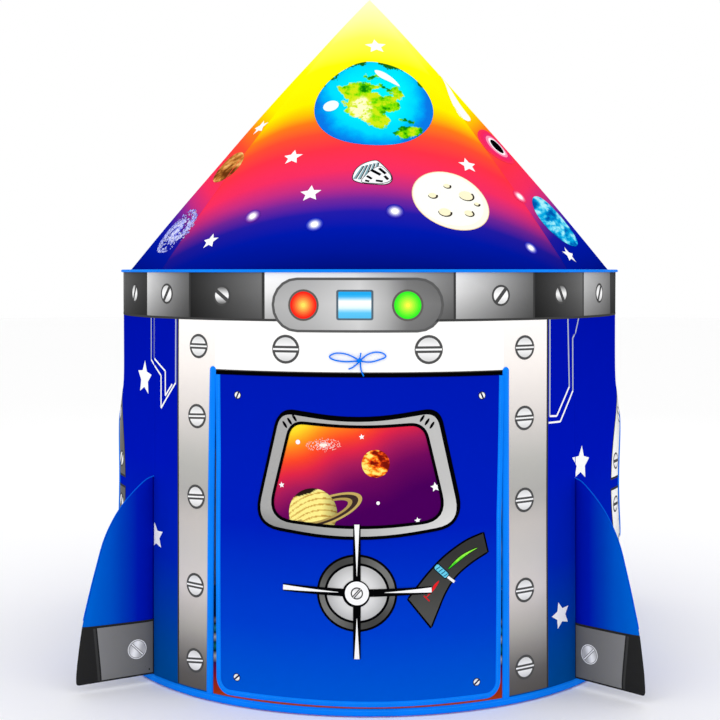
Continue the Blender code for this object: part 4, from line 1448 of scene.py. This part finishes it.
def make_capsule(art):
    """A small striped craft of plain make."""
    spot = (2.6, 0.2350)
    hull = smooth_line(((-0.034, -0.012), (-0.028, 0.010), (-0.014, 0.024), (0.006, 0.032),
                        (0.016, 0.026), (0.034, 0.000), (0.036, -0.018), (0.024, -0.028),
                        (-0.004, -0.027), (-0.024, -0.022)), 4, closed=True)
    art.add(on_roof(*spot, grown(hull, 0.0018)), (34, 26, 36), 1)
    art.add(on_roof(*spot, hull), (248, 251, 252), 2)
    for k in range(5):
        foot = (-0.032 + 0.0082 * k, -0.014 - 0.0018 * k)
        head = (-0.016 + 0.0068 * k, 0.018 + 0.0022 * k)
        art.add(on_roof(*spot, bar(foot, head, 0.0036, 0.0024)), (128, 168, 178), 3)
        shadow = bar((foot[0] + 0.0034, foot[1]), (head[0] + 0.0024, head[1]), 0.0018)
        art.add(on_roof(*spot, shadow), (20, 24, 30), 4)
    cabin = smooth_line(((-0.018, -0.022), (-0.010, -0.006), (0.004, 0.010), (0.018, 0.016),
                         (0.034, -0.004), (0.034, -0.018), (0.020, -0.026), (0.000, -0.026)),
                        3, closed=True)
    art.add(on_roof(*spot, grown(cabin, 0.0012)), (14, 14, 18), 5)
    art.add(on_roof(*spot, cabin), (246, 249, 251), 6)
    for a, b, wide, high, turn in (
            (0.008, 0.001, 0.0210, 0.0062, -36.0), (0.020, 0.005, 0.0180, 0.0056, -48.0),
            (0.027, -0.012, 0.0110, 0.0056, -54.0), (-0.004, -0.012, 0.0120, 0.0050, -40.0),
            (0.014, -0.021, 0.0130, 0.0050, -8.0), (-0.008, -0.021, 0.0080, 0.0046, -20.0)):
        panel = [(a + x, b + y) for x, y in turned(box_shape(wide, high), turn)]
        art.add(on_roof(*spot, panel), (8, 8, 12), 7)


def make_moon(art):
    """Cream moon with plain craters."""
    spot = (24.6, 0.1690)
    disc = turned(oval(0.0755, 0.0735, 48), -34.0)
    art.add(on_roof(*spot, disc), (246, 214, 170), 1)
    art.add(on_roof(*spot, grown(disc, -0.0016)), (255, 250, 232), 2)
    art.add(on_roof(*spot, [(x * 0.90 - 0.003, y * 0.90 + 0.003) for x, y in disc]), (255, 255, 246), 3)
    for a, b, size, turn in ((0.034, 0.012, 0.0150, 20.0), (-0.022, -0.030, 0.0125, -10.0),
                             (0.026, -0.032, 0.0095, 30.0), (-0.034, 0.012, 0.0085, 0.0),
                             (0.002, 0.036, 0.0070, 10.0), (0.050, -0.008, 0.0055, 0.0)):
        art.add(on_roof(*spot, [(a + x, b + y) for x, y in oval(size, size * 0.8, 18)]), (252, 244, 206), 4)
        lit = arc(radians(turn + 170), radians(turn + 370), 16)
        edge = [(a + size * x, b + size * 0.8 * y) for x, y in lit]
        art.add(on_roof(*spot, stroke(edge, 0.0012, 0.0040)), (44, 34, 24), 5)


def planet_ink(low, middle, high, spot, seed, stretch, lean):
    """Drawn-out clouds of three colours, dimmer to the lower left of a planet centred on spot."""

    def ink(phi, s):
        x, y = radians(phi - spot[0]) * roof_radius(s), s - spot[1]
        a, b = turned([(x, y)], lean)[0]
        tone = 0.9 * cloudy(a, b * stretch, 13.0, seed) + (x + y) * 7.0
        return blend_stops(((-0.9, low), (0.0, middle), (0.8, high)), tone)

    return ink


def make_roof_print():
    """Planets, stars and glints over the roof."""
    art = Artwork("roof_art_print", roof_point, "root", slot="roof_print", scale=radians(1.0) * 0.3,
                  steps=(0.012, 0.016))
    for phi, s, size, turn in (
            (8.9, 0.6066, 0.0220, 4.0), (-54.1, 0.3744, 0.021, 20.0), (-24.9, 0.2810, 0.0200, 6.0),
            (-14.5, 0.1856, 0.0210, 6.0), (-38.4, 0.0705, 0.0185, 10.0), (35.6, 0.2594, 0.0195, -6.0),
            (54.8, 0.0384, 0.0190, -8.0), (98.0, 0.52, 0.020, 5.0), (112.0, 0.30, 0.022, 12.0),
            (88.0, 0.25, 0.020, -8.0), (150.0, 0.40, 0.021, 0.0), (-98.0, 0.46, 0.021, 6.0),
            (-112.0, 0.22, 0.020, -12.0), (-150.0, 0.30, 0.022, 9.0), (176.0, 0.56, 0.020, 3.0),
            (140.0, 0.12, 0.020, 10.0), (-138.0, 0.09, 0.019, -6.0), (-84.0, 0.08, 0.019, 4.0)):
        art.add(on_roof(phi, s, star(size), turn), WHITE, 1)
    for phi, s, size in ((-29.1, 0.1303, 0.0165), (-11.3, 0.1085, 0.0175), (8.4, 0.1394, 0.0175),
                         (50.4, 0.1830, 0.0170), (41.7, 0.0537, 0.0150), (104.0, 0.12, 0.0165),
                         (124.0, 0.19, 0.0165), (160.0, 0.20, 0.0165), (-104.0, 0.12, 0.0165),
                         (-124.0, 0.16, 0.0165), (-166.0, 0.14, 0.0165)):
        glow(art, phi, s, size)
    make_globe(art)
    make_capsule(art)
    make_moon(art)

    comet = (53.0, 0.406)
    tail = smooth_line(((0.000, 0.002), (0.004, 0.030), (0.014, 0.062), (0.034, 0.104), (0.058, 0.150)), 5)
    art.add(on_roof(*comet, stroke(tail, 0.034, 0.002)), (255, 255, 246), 1)
    art.add(on_roof(*comet, oval(0.0168)), (255, 255, 246), 1.2)
    hole = (60.8, 0.3220)
    rims = ((250, 48, 88), (244, 40, 96), (236, 44, 110), (250, 150, 180), (255, 246, 250))
    for k, tint in enumerate(rims):
        art.add(on_roof(*hole, oval(0.054 - 0.0080 * k, 0.047 - 0.0058 * k)), tint, 1 + 0.5 * k)
    art.add(on_roof(*hole, oval(0.0175, 0.0185)), (4, 2, 6), 5)
    for spot, size, colours, stretch, lean in (
            ((61.5, 0.1250), 0.0640, ((0, 84, 170), (0, 168, 224), (170, 240, 250)), 2.6, -20.0),
            ((-54.4, 0.2640), 0.0405, ((104, 52, 16), (206, 134, 60), (255, 214, 140)), 1.5, -20.0),
            ((180.0, 0.3300), 0.0700, ((96, 50, 180), (170, 110, 230), (232, 196, 252)), 3.0, 10.0),
            ((-100.0, 0.3300), 0.0440, ((150, 40, 20), (232, 96, 40), (255, 190, 90)), 2.0, 0.0)):
        ink = planet_ink(*colours, spot, size * 90.0, stretch, lean)
        art.add(on_roof(*spot, oval(size, count=44)), ink, 1, steps=(0.0035, 0.0035))

    rng = random.Random(5)
    spiral = (-56.6, 0.0985)
    for k in range(5):
        share = k / 4
        tint = tuple(a + (b - a) * share for a, b in zip((50, 50, 190), (240, 244, 255)))
        art.add(on_roof(*spiral, oval(0.020 * (1 - 0.2 * k), count=18)), tint, 0.5 + 0.25 * k)
    for k in range(900):
        reach = rng.random() ** 0.62
        turn = rng.choice((0.0, pi)) + reach * 4.4 + rng.gauss(0.0, 0.62)
        x, y = 0.058 * reach * cos(turn), 0.054 * reach * sin(turn)
        light = rng.random() ** 0.7 * (1.0 - 0.3 * reach)
        size = 0.0013 + 0.0019 * rng.random() ** 2
        art.add(on_roof(*spiral, [(x + dx, y + dy) for dx, dy in oval(size, count=5)]),
                (110 + 145 * light, 120 + 135 * light, 236 + 19 * light), 2)
    art.build()


# ---- fins ----
def make_fins():
    """Padded fins: two crowned faces welded along their edge."""
    for tag in FIN_PHI:
        body = f"fin_{tag}"
        points, faces = [], []
        for side in (1.0, -1.0):
            place = fin_place(tag, side)
            sheet = cut_sheet(FIN_CURVE, [], (0.004, 0.006))
            start = len(points)
            for index, vert in enumerate(sheet.verts):
                vert.index = index
                points.append(place(vert.co.x, vert.co.y))
            for face in sheet.faces:
                loop = [start + v.index for v in face.verts]
                faces.append(loop if side < 0 else loop[::-1])
            sheet.free()
        mesh = point_mesh(f"fin_padding_{tag}", points, faces, weld=0.00002)
        fin = keep(f"fin_padding_{tag}", mesh, fin_cloth(tag), body, "fin_print",
                   [f"fin_cover_{tag}", f"fin_core_{tag}"])
        fin_prints(tag, body)


def strip_edge(z):
    """Outer edge of a fin beside its printed strip."""
    places = [point for point in FIN_EDGE if 0.019 <= point[1] <= 0.18]
    return float(np.interp(z, [p[1] for p in places], [p[0] for p in places]))


def strip_foot(s):
    """Height of a fin's foot under its strip."""
    return 0.0165 - 0.0028 * s / 0.143


def fin_prints(tag, body):
    """Grey strip with a slotted screw along the foot of each face."""
    hinge = HINGES[body]

    def panel_grey(s, z):
        grey = 104 + 26 * abs(s) / 0.1
        return (grey, grey, grey)

    def silver(s, z):
        tone = 0.5 + 0.5 * sin((abs(s) - 0.034) * 210.0 + (z - 0.068) * 80.0 + 0.8)
        return tuple([184 + 71 * tone] * 3)

    for side, word in ((1.0, "a"), (-1.0, "b")):
        place = fin_place(tag, side)

        def face_place(s, z, lift, place=place, side=side):
            return place(-s * side, z, lift)

        art = Artwork(f"fin_print_{tag}_{word}", face_place, body, scale=1.0, steps=(0.004, 0.006),
                      slot="fin_print")

        def put(outline, ink, level, side=side, art=art):
            art.add([(-s * side, z) for s, z in outline], ink, level + 2)

        edge = [(strip_edge(z), z) for z in (0.020, 0.035, 0.0511, 0.07, 0.09, 0.11, STRIP_TOP)]
        put([(0.0008, strip_foot(0.0)), (0.1425, strip_foot(0.1425)), *edge, (0.0008, STRIP_TOP)],
            (40, 40, 40), 1)
        put([(0.0026, strip_foot(0.0) + 0.0036), (0.101, strip_foot(0.101) + 0.0036),
             (0.1105, STRIP_TOP - 0.0042), (0.0026, STRIP_TOP - 0.0042)], panel_grey, 2)
        put([(0.1040, strip_foot(0.1) + 0.0036), (0.1085, strip_foot(0.1) + 0.0036),
             (0.1178, STRIP_TOP - 0.0042), (0.1134, STRIP_TOP - 0.0042)], (60, 60, 60), 2)
        slots = [turned(bar((-0.0150, 0.0), (0.0150, 0.0), width), 45.0) for width in (0.0044, 0.0020)]
        for shape, tint, level in (
                (oval(0.0182), (240, 240, 240), 3), (oval(0.0166), (120, 120, 120), 4),
                (oval(0.0156), silver, 5), (slots[0], (112, 112, 112), 6), (slots[1], (252, 252, 252), 7)):
            put([(0.034 + x, 0.0680 + y) for x, y in shape], tint, level)
        art.build()
    turn = radians(FIN_PHI[tag] + FIN_SWING[tag] - 90.0)
    along = Vector((cos(turn), sin(turn), 0.0))
    path = [Vector((hinge.x, hinge.y, z)) + along * (s - 0.003) for s, z in FIN_CURVE if z > STRIP_TOP]
    rod(f"fin_piping_{tag}", path, 0.0011, "piping", body)


def rod(name, path, radius, material, body, replaces=()):
    """A round cord or wire along points, as a curve."""
    curve = bpy.data.curves.new(name, "CURVE")
    curve.dimensions = "3D"
    curve.bevel_depth = radius
    curve.bevel_resolution = 3
    curve.use_fill_caps = True
    spline = curve.splines.new("POLY")
    spline.points.add(len(path) - 1)
    for slot_point, point in zip(spline.points, path):
        slot_point.co = (*point, 1.0)
    spline.use_smooth = True
    piece = bpy.data.objects.new(name, curve)
    bpy.context.scene.collection.objects.link(piece)
    curve.materials.append(MAT[material])
    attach(piece, body)
    if replaces:
        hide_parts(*replaces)
    return piece


# ---- hoops in their hems ----
def make_hoops():
    """Round rods in the base hem and under the eave."""
    for name in ("base_hoop", "eave_hoop"):
        low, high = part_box(name)
        z = (low[2] + high[2]) / 2
        bpy.ops.mesh.primitive_torus_add(major_radius=0.5094, minor_radius=0.003, major_segments=160,
                                         minor_segments=10, location=(0.0, 0.0, 0.0))
        made = bpy.context.object
        mesh = made.data
        bpy.data.objects.remove(made, do_unlink=True)
        for vert in mesh.vertices:
            vert.co.z += z
        mesh.shade_smooth()
        keep(f"{name}_rod", mesh, "pole", "root", "hoop", [name])


# ---- door ties ----
KNOT = Vector((0.0, -0.5197, 0.6212))
CORD_D = 0.0026
LEFT_TIE = (
    (-0.0010, 0.0010), (-0.0040, 0.0024), (-0.013, 0.0076), (-0.026, 0.0118), (-0.040, 0.0126),
    (-0.0500, 0.0090), (-0.0510, 0.0045), (-0.044, 0.0010), (-0.034, -0.0012), (-0.020, -0.0022),
    (-0.0040, -0.0010), (-0.0005, -0.0020), (-0.0022, -0.0046), (-0.0065, -0.0085), (-0.0120, -0.0125),
    (-0.0185, -0.0150),
)
RIGHT_TIE = (
    (0.0010, 0.0010), (0.0040, 0.0022), (0.014, 0.0100), (0.026, 0.0142), (0.038, 0.0138), (0.0455, 0.0096),
    (0.0450, 0.0052), (0.037, 0.0020), (0.024, -0.0020), (0.013, -0.0026), (0.0040, -0.0014),
    (0.0010, -0.0020), (0.0022, -0.0046), (0.0026, -0.0115), (0.0042, -0.0190), (0.0080, -0.0275),
)


def make_ties():
    """Two thin cords tied in a bow over the door, and the knot that holds them."""
    wrap = [(0.0042 * cos(t) * 0.5 + 0.0006 * t - 0.0012, -0.0010 - 0.0016 * sin(t), 0.0038 * cos(t + 0.5))
            for t in np.linspace(-0.6, 4.0, 14)]
    stub = ((0.0006, -0.0008, 0.0006), (0.0016, -0.0014, 0.0050), (0.0026, -0.0012, 0.0098),
            (0.0032, -0.0008, 0.0135))
    wraps = [rod(name, [KNOT + Vector(p) for p in line], radius, "cord", "root")
             for name, line, radius in (("bow_knot_wrap", wrap, 0.00135), ("bow_knot_stub", stub, 0.0013))]
    shape = bmesh.new()
    bmesh.ops.create_icosphere(shape, subdivisions=3, radius=1.0)
    for vert in shape.verts:
        twist = 1.0 + 0.13 * sin(6.0 * atan2(vert.co.z, vert.co.x) + 4.0 * vert.co.y)
        x, y, z = vert.co
        vert.co = KNOT + Vector((x * 0.0046 * twist, y * 0.0030, z * 0.0036 * twist))
    mesh = bpy.data.meshes.new("bow_knot")
    shape.to_mesh(mesh)
    shape.free()
    mesh.shade_smooth()
    knot = keep("bow_knot", mesh, "cord", "root", "cord", ["tie_knot"])
    for tag, flat in (("left", LEFT_TIE), ("right", RIGHT_TIE)):
        line = smooth_line(flat, 5)
        path = []
        for index, (x, dz) in enumerate(line):
            share = index / len(line)
            deep = 0.0016 + 0.0004 * sin(2 * pi * share)
            radius = WALL + CORD_D / 2 + deep
            path.append(Vector((KNOT.x + x, -sqrt(radius ** 2 - x * x), KNOT.z + dz)))
        length = sum((b - a).length for a, b in zip(path, path[1:]))
        cord = rod(f"tie_{tag}", path, CORD_D / 2, "cord", "root",
                   [f"tie_loop_{tag}", f"tie_tail_{tag}"])
        tuple(path[0])


# ---- camera, light and floor ----
def pale_floor():
    graph = Graph("studio_floor", roughness=0.85, specular=0.05)
    graph.put(graph.shader.inputs["Base Color"], srgb(253, 253, 253))
    return graph.material


def make_stage():
    """Camera at the height of the eave, white surroundings, three soft lamps and a pale floor."""
    scene = bpy.context.scene
    distance = 5.5 * WALL
    azimuth = radians(2.0)
    data = bpy.data.cameras.new("camera")
    data.lens = 66.5
    data.sensor_width = 36.0
    data.shift_x = -0.0132
    data.shift_y = -0.1236
    camera = bpy.data.objects.new("camera", data)
    camera.location = (distance * sin(azimuth), -distance * cos(azimuth), EAVE)
    camera.rotation_euler = (pi / 2, 0.0, azimuth)
    scene.collection.objects.link(camera)
    scene.camera = camera
    scene.view_settings.view_transform = "Standard"

    world = bpy.data.worlds.new("studio")
    world.use_nodes = True
    background = world.node_tree.nodes["Background"]
    background.inputs["Color"].default_value = (1.0, 1.0, 1.0, 1.0)
    background.inputs["Strength"].default_value = 1.0
    scene.world = world
    for name, place, size, power in (
            ("key", (-1.7, -3.2, 2.6), 2.2, 12.0), ("fill", (2.6, -2.6, 1.6), 2.4, 5.0),
            ("back", (0.5, 3.0, 2.6), 2.4, 8.0)):
        light = bpy.data.lights.new(name, "AREA")
        light.size = size
        light.energy = power
        lamp = bpy.data.objects.new(name, light)
        lamp.location = place
        aim = Vector((0.0, 0.0, 0.6)) - Vector(place)
        lamp.rotation_euler = aim.to_track_quat("-Z", "Y").to_euler()
        scene.collection.objects.link(lamp)

    bpy.ops.mesh.primitive_circle_add(vertices=64, radius=20.0, fill_type="NGON",
                                      location=(0.0, 0.0, -0.0006))
    floor = bpy.context.object
    floor.name = "studio_floor"
    floor.data.materials.append(pale_floor())


def make_metal_and_plastic():
    """Better materials for the rigid CAD pieces that stay."""
    looks = {"pole": "pole", "metal": "steel", "plastic": "plastic"}
    slots = {row["node"]: row["material_slot"] for row in frame["record"]["subparts"]}
    for name, node in frame["nodes"].items():
        look = looks.get(slots.get(name))
        for slot in node.material_slots if look else ():
            slot.material = MAT[look]


make_stage()
make_ties()
make_metal_and_plastic()
make_walls()
make_lining()
make_roof()
make_floor()
make_ring_tapes()
make_door_tapes()
make_windows()
make_seams()
make_hoops()
make_door_frame_print()
make_band_print()
make_wall_prints()
make_roof_print()
make_fins()
flap_pieces = make_flap()
flap_pieces += [make_flap_window_print(), make_flap_wheel_print(), make_flap_lever_print()]
flap_pieces.append(STITCHES.build()["door_flap"])
for piece in flap_pieces:
    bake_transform(piece)
